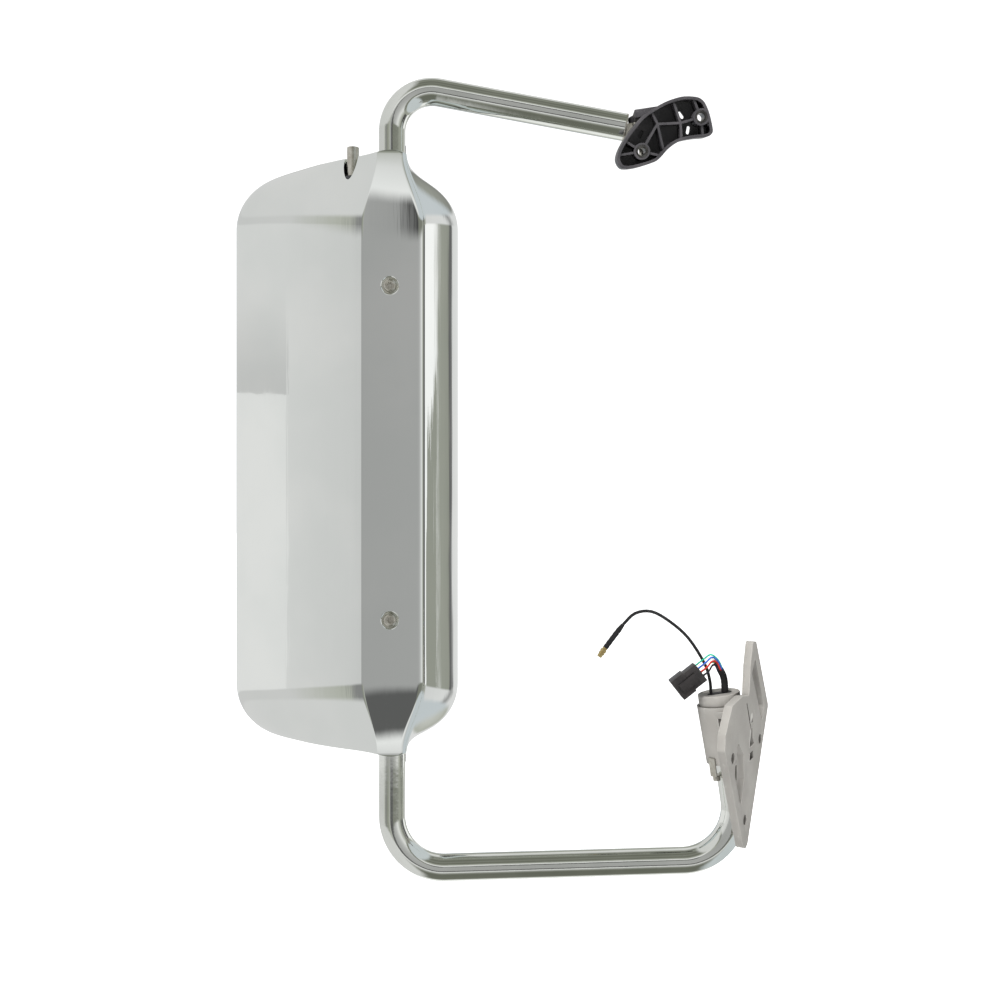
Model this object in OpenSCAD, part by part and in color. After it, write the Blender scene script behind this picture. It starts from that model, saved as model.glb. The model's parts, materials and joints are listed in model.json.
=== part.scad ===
// Heavy-vehicle door mirror: a C-shaped tube arm carries a tall chromed head between a cast lower
// bracket and a ribbed upper bracket.
// Row frame: X points into the door, Z up, and the origin lies on the lower bracket's door face,
// midway between its two upper bolt holes. The arm is modelled in its own upright plane, turned by
// arm_yaw about Z from the door's square.

/* [Tube arm] */
// Outer diameter of the tube
tube_d = 28.6; // [24:0.1:32]
// Wall of the tube
tube_wall = 2; // [1.5:0.1:3]
// Angle of the arm forward from square to the door
arm_yaw = 29; // [10:1:45]
// Distance of the head's post outboard of the lower pivot
post_reach = 363; // [320:1:420]
// Height of the upper bend's start above the lower pivot plane
post_top = 679; // [650:1:720]
// Depth of the lower bend's start below the lower pivot plane
post_bottom = 60; // [50:1:75]
// Bend radius at the top of the post
upper_bend_r = 43; // [38:1:60]
// Bend radius at the foot of the post
lower_bend_r = 56; // [45:1:65]
// Bend radius below the socket
pivot_bend_r = 57; // [50:1:65]
// Fall of the upper run, in degrees
upper_fall = 10.6; // [5:0.1:15]
// Rise of the lower run, in degrees
lower_rise = 1.7; // [0:0.1:4]
// Outboard lean of the fold axis, in degrees
axis_lean = 7.9; // [6:0.1:10]

/* [Lower bracket] */
// Thickness of the door plate
plate_t = 8; // [6:0.5:12]
// Spacing of the two upper door bolts
bolt_pitch = 100; // [90:1:110]
// Drop of the lower door bolt below the upper two
bolt_drop = 73; // [65:1:80]
// Offset of the lower door bolt from the middle, along the door
bolt_shift = -8; // [-14:1:-2]
// Diameter of the door bolt holes
bolt_hole_d = 11; // [9:0.5:12]
// Outer radius of the socket body
socket_r = 25; // [24:0.5:27]
// Bore radius of the socket
socket_bore_r = 20.5; // [19.5:0.1:21]
// Length of the socket body without its cap
socket_h = 62; // [58:1:68]
// Height of the socket cap
cap_h = 11; // [9:1:14]

/* [Head] */
// Width of the head at its rim
head_w = 258; // [240:1:280]
// Height of the head at its rim
head_h = 646; // [636:1:660]
// Corner radius of the rim
head_corner_r = 60; // [50:1:70]
// Distance of the rim's inboard edge from the post
head_inboard = 67.6; // [60:0.1:75]
// Depth of the rim behind the post
rim_y = 90; // [84:1:96]
// How far the back panel stands in front of the post's axis
panel_y = 24; // [22:0.5:28]
// Width of the back panel
panel_w = 65; // [58:1:72]
// Wall of the chromed cover
cover_t = 2.5; // [2:0.1:3.5]
// Distance of each post clamp from the head's middle
clamp_z = 177.5; // [170:0.5:185]

/* [Glass] */
// Width of both glasses
glass_w = 220; // [200:1:224]
// Height of the main glass
main_h = 370; // [350:1:374]
// Height of the convex glass
convex_h = 202; // [190:1:206]
// Thickness of the glass
glass_t = 3; // [2:0.5:4]
// Gap between a glass and its opening
glass_gap = 4; // [3:0.5:6]
// Distance of the actuator's plungers from the pivot
lever_r = 34; // [32:1:38]

/* [Upper bracket] */
// Depth of the bracket's tray
tray_depth = 25; // [18:1:30]
// Wall of the bracket
tray_wall = 3; // [2.5:0.5:4]
// Diameter of the bolt holes in the bosses
upper_hole_d = 8.5; // [6.5:0.5:10]
// Diameter of the pivot bolt
pivot_d = 10; // [8:0.5:12]

/* [Wiring] */
// Diameter of the aerial cable
coax_d = 3.4; // [2.5:0.1:4.5]
// Diameter of each wire
wire_d = 1.8; // [1.4:0.1:2]
// Diameter of the wires' sleeve
sleeve_d = 8; // [7.6:0.1:8.5]
// Diameter of the harness inside the tube
harness_d = 9; // [7:0.5:11]

/* [Hidden] */
$fn = 48;
eps = 0.01;

// Clearances
run_gap = 0.05;      // radial running fit of turning pieces
free_gap = 0.3;      // between moving pieces that don't bear on each other

// Lower pivot: foot of the fold axis, from the row origin along the arm plane's own axes
foot = [-12.3, 35.5, -21];
tube_r = tube_d / 2;
bore_r = tube_r - tube_wall;
lean = [-sin(axis_lean), 0, cos(axis_lean)];

// Stations along the fold axis, measured up from the socket's mouth
bush_h = 12;
fixed_ring_z = 30;
ring_h = 7;
tube_top_s = 50;
cap_s = socket_h;
top_s = socket_h + cap_h;

// The arm's centre line: arm-plane points relative to the lower pivot foot, x inboard, z up
post_x = -post_reach;
upper_turn = 90 + upper_fall;
lower_turn = 90 + lower_rise;
pivot_turn = 90 - lower_rise + axis_lean;
upper_start = [post_x + upper_bend_r * (1 - cos(upper_turn)),
    post_top + upper_bend_r * sin(upper_turn)];
lower_start = [post_x + lower_bend_r * (1 - cos(lower_turn)),
    -post_bottom - lower_bend_r * sin(lower_turn)];
// The lower run meets the fold axis at this corner, and the bend takes equal lengths of both
corner_t = (-lower_start[0] - tan(axis_lean) * lower_start[1])
    / (cos(lower_rise) + tan(axis_lean) * sin(lower_rise));
corner = [lower_start[0] + corner_t * cos(lower_rise), lower_start[1] + corner_t * sin(lower_rise)];
bend_leg = pivot_bend_r * tan(pivot_turn / 2);
lower_run = corner_t - bend_leg;
rise_run = norm(corner) - bend_leg;

// The upper pivot lies on the fold axis where the upper run reaches it
upper_t = (-upper_start[0] - tan(axis_lean) * upper_start[1])
    / (cos(upper_fall) - tan(axis_lean) * sin(upper_fall));
upper_s = (upper_start[1] - upper_t * sin(upper_fall)) / cos(axis_lean);
eye_r = 14;
eye_h = 12;
upper_run = upper_t - eye_r - 4;

// Head frame: origin on the post at the head's middle height
head_mid = 331;
head_cx = head_inboard - head_w / 2;
bezel_in = 2;
bezel_front = rim_y + 36;
lip_t = 4;
glass_front = rim_y + 26;
pivot_y = rim_y + 4;
holder_back = glass_front - glass_t - 0.6 - 4;
frame_top = head_h / 2 - 16;
main_z = frame_top - glass_gap - main_h / 2;
convex_z = -frame_top + glass_gap + convex_h / 2;
bar_z = (main_z - main_h / 2 + convex_z + convex_h / 2) / 2;
plate_y = 20;
clamp_w = 50;
wide_z = 248;
clamp_bolt_x = [-20, 20];
backplate_t = 3;
housing_r = lever_r + 10;
housing_h = pivot_y - plate_y - backplate_t - 19;
stand_x = [-62, 8];
stand_z = [head_h / 2 - 13, bar_z, 13 - head_h / 2];
stand_h = 7;
stud_at = [-42.5, 2];
stud_hole_d = 20;
stud_top = 331;

// Colours
chrome = [0.83, 0.86, 0.84];
cast = [0.72, 0.71, 0.68];
dark = [0.2, 0.2, 0.21];
steel = [0.62, 0.62, 0.6];
brass = [0.78, 0.68, 0.42];

// Routes in the arm's plane, relative to the lower pivot foot: x inboard, y rearward, z up
coax_route = [[-18.5, 0, 72], [-19.5, 1, 86], [-25, 2, 104], [-42, 3, 131], [-62, 4, 149],
    [-82, 4, 160], [-100, 4, 158], [-113, 4, 146]];
boot_route = [[-113, 4, 146], [-123, 4, 133], [-132, 4, 121]];
plug_route = [[-132, 4, 121], [-135.5, 4, 116], [-139, 4, 111]];
sleeve_route = [[-3.5, 0, 74.2], [-4, -1, 84], [-6, -3, 92], [-9.5, -5, 98.5]];
connector_at = [-32.7, -13.5, 98.1];
connector_dip = 38;
wire_spread = 4.6;

module in_arm() { rotate([0, 0, arm_yaw]) translate(foot) children(); }
module on_fold(s = 0) { in_arm() rotate([0, -axis_lean, 0]) translate([0, 0, s]) children(); }
module in_head() { in_arm() translate([post_x, 0, head_mid]) children(); }
// Turns a shape drawn in XY, with its height along Z, to lie in XZ with its height along +Y
module facing(y = 0) { translate([0, y, 0]) rotate([-90, 0, 0]) mirror([0, 1, 0]) children(); }

module ring(r_out, r_in, h) {
    difference() {
        cylinder(r = r_out, h = h);
        translate([0, 0, -1]) cylinder(r = r_in, h = h + 2);
    }
}

// A rectangle with true round corners
module rounded(w, h, r) {
    square([w - 2 * r, h], center = true);
    square([w, h - 2 * r], center = true);
    for (x = [-1, 1], z = [-1, 1])
        translate([x * (w / 2 - r), z * (h / 2 - r)]) circle(r = r);
}

// --- Sweeping a round cord along a smooth route -------------------------------------------------
function spline(a, b, c, d, t) = 0.5 * (2 * b + (c - a) * t + (2 * a - 5 * b + 4 * c - d) * t * t
    + (3 * b - a - 3 * c + d) * t * t * t);
function at(p, i) = i < 0 ? 2 * p[0] - p[1] : i >= len(p) ? 2 * p[len(p) - 1] - p[len(p) - 2] : p[i];
function smooth(p, n) = concat([for (i = [0 : len(p) - 2], k = [0 : n - 1])
    spline(at(p, i - 1), p[i], p[i + 1], at(p, i + 2), k / n)], [p[len(p) - 1]]);
function unit(v) = v / norm(v);
function heading(p, i) = unit(p[min(i + 1, len(p) - 1)] - p[max(i - 1, 0)]);

module cord(p, d, sides = 8) {
    rings = [for (i = [0 : len(p) - 1])
        let (t = heading(p, i), u = unit(cross(t, [0, 1, 0])), v = cross(t, u))
        for (k = [0 : sides - 1])
            p[i] + d / 2 * (u * cos(360 * k / sides) + v * sin(360 * k / sides))];
    n = len(p);
    walls = [for (i = [0 : n - 2], k = [0 : sides - 1])
        let (a = i * sides + k, b = i * sides + (k + 1) % sides)
        [a, a + sides, b + sides, b]];
    first = [for (k = [0 : sides - 1]) k];
    last = [for (k = [sides - 1 : -1 : 0]) (n - 1) * sides + k];
    polyhedron(points = rings, faces = concat(walls, [first], [last]), convexity = 6);
}

// --- Lower bracket ------------------------------------------------------------------------------
plate_outline = [[-14, -100], [-6, -103.5], [2, -101], [84, 31], [36, 107.5], [23, 109.5], [13.5, 85],
    [8, 54], [-16, 57], [-52, 53], [-74.5, 28], [-77, 12]];
ear_window = [[32.5, 90], [19, 76], [58, 16], [66, 34]];
low_window = [[-33, 14], [-41, -10], [-44, -18], [-23, -57], [-10, -30], [-12, -4]];

module door_holes(d, x, h) {
    for (p = [[-bolt_pitch / 2, 0], [bolt_pitch / 2, 0], [bolt_shift, -bolt_drop]])
        translate([x, p[0], p[1]]) rotate([0, 90, 0]) cylinder(d = d, h = h);
}

module lower_bracket() color(cast) difference() {
    union() {
        translate([-plate_t, 0, 0]) rotate([90, 0, 90]) linear_extrude(plate_t) difference() {
            offset(r = 5) offset(delta = -5) polygon(plate_outline);
            offset(r = 3) offset(delta = -3) polygon(ear_window);
            offset(r = 4) offset(delta = -4) polygon(low_window);
        }
        door_holes(bolt_hole_d + 9, -plate_t - 2.5, plate_t);
        on_fold() cylinder(r1 = socket_foot_r, r2 = socket_r, h = socket_h);
        // Webs that tie the socket to the plate
        for (s = [8, 31, 54]) on_fold(s) rotate([0, 0, -arm_yaw]) translate([0, -socket_r, -2.5])
            cube([plate_gap, 2 * socket_r, 5]);
        on_fold(2) rotate([0, 0, -arm_yaw]) translate([0, -socket_r, 0]) cube([plate_gap, 7, socket_h - 6]);
        on_fold(2) rotate([0, 0, -arm_yaw]) translate([0, socket_r - 7, 0])
            cube([plate_gap, 7, socket_h - 6]);
    }
    door_holes(bolt_hole_d, -plate_t - 4, plate_t + 5);
    on_fold(-eps - 30) cylinder(r = socket_bore_r, h = socket_h + 31);
    // Pockets between the ribs on the side that faces forward
    for (p = [[3, 8], [17, 18], [41, 10]]) on_fold(p[0]) rotate([0, 0, 252]) rotate_extrude(angle = 78)
        translate([socket_foot_r - 0.6 + p[0] * (socket_r - socket_foot_r) / socket_h, 0]) square([10, p[1]]);
    // Groove down the door face
    translate([-1.5, 1, 48]) rotate([-152, 0, 0]) cube([3, 3, 54]);
    // Keep clear of the tube's bend and trim everything flush with the door face
    translate([0, -200, -200]) cube([60, 400, 400]);
    on_fold(-60) translate([-eps, 0, 0]) cylinder(r = tube_r + 1.2, h = 62);
    // Cap slit
    on_fold(socket_h - 6) rotate([0, 0, 180]) translate([socket_r - 3, -14, 0]) cube([8, 12, 2]);
}
plate_gap = 34;
socket_foot_r = socket_r - 2;

module socket_cap() color(cast) on_fold(cap_s) difference() {
    union() {
        cylinder(r = 22.5, h = cap_h);
        translate([0, 0, -6]) cylinder(r = socket_bore_r - run_gap, h = 7);
        translate([0, 0, cap_h - 1]) ring(22.5, 20, 1.8);
    }
    outlet(h = cap_h * 3, grow = 0);
    translate([0, 0, -8]) cylinder(r = 15, h = 8 + cap_h - 4);
}

// Slot that the cables leave by, long in the arm's plane
outlet_l = 26;
outlet_w = 9.6;
outlet_x = 1;
module outlet(h, grow) {
    translate([outlet_x, 0, -h / 2]) linear_extrude(h) {
        square([outlet_l - outlet_w, outlet_w + 2 * grow], center = true);
        for (x = [-1, 1]) translate([x * (outlet_l - outlet_w) / 2, 0])
            circle(r = outlet_w / 2 + grow);
    }
}

// Cables leave the leaning socket's top this far inboard of its axis
lean_at_top = (socket_h + cap_h) * sin(axis_lean);
module outlet_seal() color(dark) on_fold(top_s - 3.4) difference() {
    translate([0, 0, 2]) outlet(h = 4, grow = -0.1);
    translate([coax_route[0][0] + lean_at_top, 0, -5]) cylinder(d = coax_d + 0.4, h = 12);
    translate([sleeve_route[0][0] + lean_at_top, 0, -5]) cylinder(d = sleeve_d + 0.4, h = 12);
}

module lower_bush() color(dark) on_fold(0) ring(socket_bore_r - run_gap, tube_r + run_gap, bush_h);
module upper_bush() color(dark) on_fold(16) ring(socket_bore_r - run_gap, tube_r + run_gap, bush_h);

// The fixed ring's four round bumps ride in the moving ring's groove
bump_r = 1.6;
track_r = (tube_r + socket_bore_r) / 2;
module fixed_detent_ring() color(steel) on_fold(fixed_ring_z) {
    ring(socket_bore_r - run_gap, tube_r + run_gap * 2, ring_h - 2);
    for (a = [45 : 90 : 315]) rotate([0, 0, a]) translate([track_r, 0, ring_h - 2.2])
        cylinder(r = bump_r, h = 1.4);
}
module moving_detent_ring() color(steel) on_fold(fixed_ring_z + ring_h - 2 + free_gap) difference() {
    ring(socket_bore_r - free_gap, tube_r, ring_h);
    translate([0, 0, -1]) ring(track_r + bump_r + free_gap, track_r - bump_r - free_gap, 2.6);
}

spring_s = fixed_ring_z + 2 * ring_h - 2 + free_gap;
module disc_springs() color(steel) on_fold(spring_s) for (i = [0 : 2])
    translate([0, 0, i * 1.7 + free_gap]) rotate_extrude()
        polygon([[tube_r + 0.4, 0], [socket_bore_r - 1, i % 2 == 0 ? 0.4 : 0],
            [socket_bore_r - 1, i % 2 == 0 ? 1.4 : 1], [tube_r + 0.4, 1]]);

module retaining_nut() color(steel) on_fold(spring_s + 5.6) ring(socket_bore_r - 1, tube_r, 4);

clip_at = 215;
clip_r = socket_foot_r + 0.35;
clip_drop = 12;
module socket_clip() color(steel) on_fold(0) rotate([0, 0, clip_at]) {
    translate([clip_r, -4.5, -clip_drop]) cube([1.2, 9, clip_drop + 8]);
    translate([tube_r + 0.8, -4.5, -clip_drop]) cube([clip_r - tube_r, 9, 1.2]);
}
module clip_screw() color(steel) on_fold(-clip_drop - 4.6) rotate([0, 0, clip_at]) translate([tube_r + 6, 0, 0]) {
    cylinder(d = 8, h = 4.5);
    cylinder(d = 4, h = 4.6);
}

// --- Tube arm -----------------------------------------------------------------------------------
// The whole centre line as turns and runs from the tube's end inside the socket
module bend(r, turn, rad) rotate([90, 0, 0]) translate([-r, 0, 0]) rotate_extrude(angle = turn)
    translate([r, 0]) circle(r = rad);

// Runs stop just short of the bends, and a hairline seam joins each pair
seam_gap = 0.3;
seam_h = 1.2;
seam_rise = 0.1;
module run(h, r) translate([0, 0, seam_gap]) cylinder(r = r, h = h - 2 * seam_gap);
module seam(r) translate([0, 0, -seam_h / 2]) cylinder(r = r + seam_rise, h = seam_h);

module arm_solid(r, grow = 0) {
    // Up the fold axis into the socket
    rotate([0, -axis_lean, 0]) translate([0, 0, -rise_run]) {
        run(rise_run + tube_top_s + seam_gap + grow, r);
        seam(r);
        mirror([0, 0, 1]) bend(pivot_bend_r, pivot_turn, r);
    }
    translate([lower_start[0], 0, lower_start[1]]) rotate([0, 90 - lower_rise, 0]) {
        run(lower_run, r);
        seam(r);
        translate([0, 0, lower_run]) seam(r);
    }
    // Foot of the post, the post, its top bend and the upper run
    translate([post_x, 0, -post_bottom]) {
        mirror([1, 0, 0]) mirror([0, 0, 1]) bend(lower_bend_r, lower_turn, r);
        run(post_bottom + post_top, r);
        seam(r);
    }
    translate([post_x, 0, post_top]) {
        seam(r);
        mirror([1, 0, 0]) bend(upper_bend_r, upper_turn, r);
    }
    translate([upper_start[0], 0, upper_start[1]]) rotate([0, 90 + upper_fall, 0]) {
        run(upper_run + seam_gap + grow, r);
        seam(r);
    }
}

harness_hole_z = -40;
module arm_tube() color(chrome) in_arm() difference() {
    arm_solid(tube_r);
    arm_solid(bore_r, 1);
    // Harness leaves the post inside the head
    translate([post_x, 0, head_mid + harness_hole_z]) rotate([-90, 0, 0]) cylinder(d = harness_d + 3, h = 30);
}

module arm_end_fitting() color(steel) in_arm() difference() {
    union() {
        translate([upper_start[0], 0, upper_start[1]]) rotate([0, 90 + upper_fall, 0]) {
            translate([0, 0, upper_run - 22]) cylinder(r = bore_r, h = 22);
            translate([0, 0, upper_run]) cylinder(r = tube_r, h = 2);
        }
        rotate([0, -axis_lean, 0]) translate([0, 0, upper_s - eye_h / 2]) {
            cylinder(r = eye_r, h = eye_h);
            translate([-eye_r - 4, -10, 0]) cube([eye_r + 4, 20, eye_h]);
        }
    }
    rotate([0, -axis_lean, 0]) translate([0, 0, upper_s - 20])
        cylinder(d = pivot_d + 2 * run_gap, h = 40);
}

// Wires run down inside the tube from the head to the socket
harness_route = concat(
    [[post_x, 17.5, head_mid + harness_hole_z], [post_x, 12, head_mid + harness_hole_z - 0.5],
        [post_x, 5, head_mid + harness_hole_z - 5], [post_x, 0, head_mid + harness_hole_z - 20]],
    [for (z = [200 : -60 : 20]) [post_x, 0, z]],
    [for (a = [0 : 15 : 90]) [post_x + lower_bend_r * (1 - cos(a)), 0, -post_bottom - lower_bend_r * sin(a)]],
    [for (i = [1 : 4]) [lower_start[0] + lower_run * i / 5, 0, lower_start[1] + lower_run * sin(lower_rise) * i / 5]],
    [for (a = [pivot_turn : -15 : 0]) let (c = [-pivot_bend_r, -rise_run],
        p = [c[0] + pivot_bend_r * cos(a), c[1] - pivot_bend_r * sin(a)])
        [p[0] * cos(axis_lean) - p[1] * sin(axis_lean), 0, p[0] * sin(axis_lean) + p[1] * cos(axis_lean)]],
    [for (s = [10, 35, 56]) s * lean]);
module harness() color(dark) in_arm() cord(harness_route, harness_d);

// --- Upper bracket ------------------------------------------------------------------------------
// Kidney outline, in the arm's plane from the upper pivot: x inboard, z up
bracket_arcs = [[-29.1, -32.8], [-25.3, -39.6], [-19.5, -41.5], [-7.9, -40.1], [9.5, -34.8], [16.3, -29.9], [23.1, -22.2], [30.8, -16.4], [38.5, -13], [52.1, -10.6],
    [63.7, -9.6], [68.5, -6.7], [69.5, -1.9], [65.1, 13.6], [60.3, 23.3], [55.9, 27.6], [50.1, 29.6], [38.5, 30.1], [28.9, 28.1], [18.2, 24.3],
    [5.7, 17.5], [-4, 10.7], [-11.7, 2], [-18.5, -6.7], [-24.3, -16.4], [-28.2, -25.1]];
boss_near = [-3.4, -24];
boss_far = [57, 10];
tray_front = -45;
tray_back = tray_front + tray_depth;
module kidney(inset) offset(r = -inset) polygon(smooth_loop(bracket_arcs, 3));
function wrap(p, i) = p[(i + len(p)) % len(p)];
function smooth_loop(p, n) = [for (i = [0 : len(p) - 1], k = [0 : n - 1])
    spline(wrap(p, i - 1), p[i], wrap(p, i + 1), wrap(p, i + 2), k / n)];
// The tray leans back with the door frame
tray_tilt = 15;
module at_upper() in_arm() translate(upper_s * lean) rotate([tray_tilt, 0, 0]) children();
module on_upper_axis(s) in_arm() rotate([0, -axis_lean, 0]) translate([0, 0, upper_s + s]) children();
module rib(a, b, t = 2.4) {
    d = b - a;
    translate([a[0], a[1]]) rotate([0, 0, atan2(d[1], d[0])]) translate([0, -t / 2]) square([norm(d), t]);
}
rib_a = [12, 3.2];
rib_b = [36, 4.3];
lug_top = 7.7;
lug_low = 20;
module upper_bracket() color(dark) difference() {
    union() {
        at_upper() {
            facing(tray_front) linear_extrude(tray_depth) difference() {
                kidney(0);
                kidney(tray_wall);
            }
            facing(tray_back - 4) linear_extrude(4) kidney(1);
            facing(tray_front + 2) linear_extrude(tray_depth - 3) intersection() {
                kidney(1);
                union() {
                    rib(boss_near, [-23.3, -12.5]);
                    rib(boss_near, [-28.2, -28]);
                    rib(boss_near, rib_a);
                    rib(boss_near, [15.3, -28]);
                    rib(rib_a, [4.7, 16.5]);
                    rib(rib_a, [19.2, -22.2]);
                    rib(rib_a, rib_b);
                    rib(rib_b, [26.9, 27.2]);
                    rib(rib_b, [37.6, -10.6]);
                    rib(rib_b, boss_far);
                    rib(boss_far, [48.2, 28.1]);
                    rib(boss_far, [67.5, 1]);
                    rib(boss_far, [59.8, -8.6]);
                }
            }
            for (b = [boss_near, boss_far]) facing(tray_front) translate([b[0], b[1], 0])
                cylinder(r = 8.5, h = tray_depth);
        }
        // Fork round the arm's eye, grown into the tray's floor
        intersection() {
            union() {
                on_upper_axis(eye_h / 2 + free_gap) fork_lug(lug_top);
                on_upper_axis(-eye_h / 2 - free_gap - lug_low) fork_lug(lug_low);
            }
            at_upper() facing(tray_back - 2) linear_extrude(80) square(200, center = true);
        }
    }
    at_upper() {
        for (b = [boss_near, boss_far]) facing(tray_front - 1) translate([b[0], b[1], 0])
            cylinder(r = 6.5, h = tray_depth + 30);
    }
    on_upper_axis(-eye_h / 2 - free_gap - lug_low - 1) cylinder(d = pivot_d + 2 * run_gap, h = lug_low + 2);
    on_upper_axis(eye_h / 2) cylinder(r = 6.5, h = lug_top + 2);
    on_upper_axis(-eye_h / 2 - free_gap) cylinder(r = eye_r + 1, h = eye_h + 2 * free_gap);
}
module fork_lug(h) {
    cylinder(r = 12, h = h);
    translate([-8, tray_back - 9, 0]) cube([24, 9 - tray_back, h]);
}

module pivot_bolt() color(steel) on_upper_axis(-eye_h / 2 - free_gap - lug_low - 7) {
    cylinder(r = 8, h = 6.9, $fn = 6);
    cylinder(d = pivot_d, h = 7 + lug_low + free_gap + eye_h + 8);
}
module pivot_insert() color(steel) on_upper_axis(eye_h / 2 + free_gap + 0.1) ring(6.5, pivot_d / 2, lug_top - 0.2);
module boss_inserts() color(steel) at_upper() for (b = [boss_near, boss_far])
    facing(tray_front) translate([b[0], b[1], 0]) ring(6.5, upper_hole_d / 2, tray_depth);

// --- Head ---------------------------------------------------------------------------------------
collar_r = tube_r + 0.4;
collar_y = panel_y - 6.5;
funnel_z = 82;
panel_out = 29.4;

// One quarter-by-quarter outline of the rim and, point for point, of the back panel, going round
// from the inboard side's middle over the top. sx is +1 inboard and -1 outboard, sz up or down.
function rim_quarter(sx, inset) = let (
        hw = head_w / 2 - inset, hh = head_h / 2 - inset, r = head_corner_r - inset,
        foot_x = -head_cx * sx)
    concat([for (i = [0 : 3]) [head_cx + sx * hw, (hh - r) * i / 4]],
        [for (a = [0 : 15 : 90]) [head_cx + sx * (hw - r + r * cos(a)), hh - r + r * sin(a)]],
        [for (i = [1 : 3]) [head_cx + sx * ((hw - r) * (1 - i / 3) + foot_x * i / 3), hh]]);
function panel_quarter(sx, inset) = let (
        side = (sx > 0 ? panel_w - panel_out : panel_out) - inset, neck = collar_r + (sx > 0 ? 2.8 : 0.6) - inset,
        hh = head_h / 2 - inset, z0 = hh - funnel_z)
    concat([for (i = [0 : 3]) [sx * side, z0 * i / 4]],
        [for (i = [0 : 6]) let (t = i / 6, s = t * t * (3 - 2 * t))
            [sx * (side + (neck - side) * s), z0 + (funnel_z - 4) * t]],
        [for (i = [1 : 3]) [sx * neck * cos(30 * i), hh - 4 + 4 * sin(30 * i)]]);
function back_to_front(p) = [for (i = [len(p) - 1 : -1 : 0]) p[i]];
function but_ends(p) = [for (i = [1 : len(p) - 2]) p[i]];
function closed_outline(inboard, outboard) = let (
        top = concat(inboard, [for (i = [len(outboard) - 2 : -1 : 0]) outboard[i]]))
    concat(top, [for (p = back_to_front(but_ends(top))) [p[0], -p[1]]]);

// How far across from panel to rim the cover stands at a share s of its depth
function spread(s, outboard) = 1 - pow(1 - s, outboard ? 1.6 : 1.25);
function cover_ring(s, inset) = let (
        rim = closed_outline(rim_quarter(1, inset), rim_quarter(-1, inset)),
        pan = closed_outline(panel_quarter(1, inset), panel_quarter(-1, inset)))
    [for (i = [0 : len(rim) - 1]) let (
            f = spread(s, rim[i][0] < 0),
            end = pow(abs(pan[i][1]) / (head_h / 2), 6),
            y0 = -panel_y + (panel_y - collar_y) * end + inset)
        [pan[i][0] + (rim[i][0] - pan[i][0]) * f, y0 + (rim_y - y0) * s,
            pan[i][1] + (rim[i][1] - pan[i][1]) * f]];

depth_steps = [0, 0.04, 0.12, 0.25, 0.4, 0.58, 0.76, 0.9, 1];
module cover_shell() {
    rings = concat([for (s = depth_steps) cover_ring(s, 0)],
        [for (i = [len(depth_steps) - 1 : -1 : 0]) cover_ring(depth_steps[i], cover_t)]);
    n = len(rings[0]);
    m = len(rings);
    walls = [for (j = [0 : m - 2], i = [0 : n - 1])
        [j * n + i, j * n + (i + 1) % n, (j + 1) * n + (i + 1) % n, (j + 1) * n + i]];
    tri = [for (w = walls, k = [0, 1]) k == 0 ? [w[0], w[1], w[2]] : [w[0], w[2], w[3]]];
    // The panel closes over with level strips between its two sides
    half = n / 2;
    function strip(a, b, c, d) = a == b ? [[a, d, c]] : c == d ? [[a, b, c]] : [[a, b, c], [a, c, d]];
    function lid(base) = [for (i = [-n / 4 : n / 4 - 1]) each [for (f = strip((half - i) % n,
        (i + n) % n, (i + 1 + n) % n, (half - i - 1) % n)) [for (v = f) base + v]]];
    front = [for (f = lid(0)) [f[0], f[1], f[2]]];
    back = [for (f = lid((m - 1) * n)) [f[2], f[1], f[0]]];
    polyhedron(points = [for (r = rings) each r], faces = concat(tri, front, back), convexity = 8);
}

screw_z = [clamp_z, -clamp_z];
module chrome_cover() color(chrome) in_head() difference() {
    cover_shell();
    for (z = [-1, 1]) translate([0, 0, z * head_h / 2 - 20]) cylinder(r = tube_r + 0.4, h = 40);
    for (z = screw_z) translate([0, -panel_y - 5, z]) rotate([-90, 0, 0]) cylinder(d = 6.6, h = 12);
    translate([stud_at[0], stud_at[1], head_h / 2 - 60]) cylinder(d = stud_hole_d, h = 80);
}

// Screws sit in dimples on the panel, in the two post clamps
module cover_screws() color(steel) in_head() for (z = screw_z) translate([0, 0, z]) {
    translate([0, -panel_y - 2.6, 0]) rotate([-90, 0, 0]) cylinder(d1 = 10, d2 = 14, h = 2.5);
    translate([0, -panel_y - 1, 0]) rotate([-90, 0, 0]) cylinder(d = 5.9, h = 7);
}

glass_mid_x = head_cx;
module bezel() color(dark) in_head() {
    w = head_w - 2 * bezel_in;
    h = head_h - 2 * bezel_in;
    r = head_corner_r - bezel_in;
    difference() {
        facing(rim_y + free_gap) linear_extrude(bezel_front - rim_y - free_gap) translate([head_cx, 0]) rounded(w, h, r);
        facing(rim_y - 1) linear_extrude(bezel_front - rim_y + 1 - lip_t) translate([head_cx, 0])
            rounded(w - 8, h - 8, r - 4);
        for (g = [[main_z, main_h], [convex_z, convex_h]])
            facing(rim_y - 2) linear_extrude(60) translate([glass_mid_x, g[0]])
                rounded(glass_w + 2 * glass_gap, g[1] + 2 * glass_gap, 22);
    }
    // Inner lip that the cover's rim snaps over
    facing(rim_y - 3) linear_extrude(5) difference() {
        translate([head_cx, 0]) rounded(w - 7.6, h - 7.6, r - 3.8);
        translate([head_cx, 0]) rounded(w - 11, h - 11, r - 5.5);
    }
}

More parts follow.
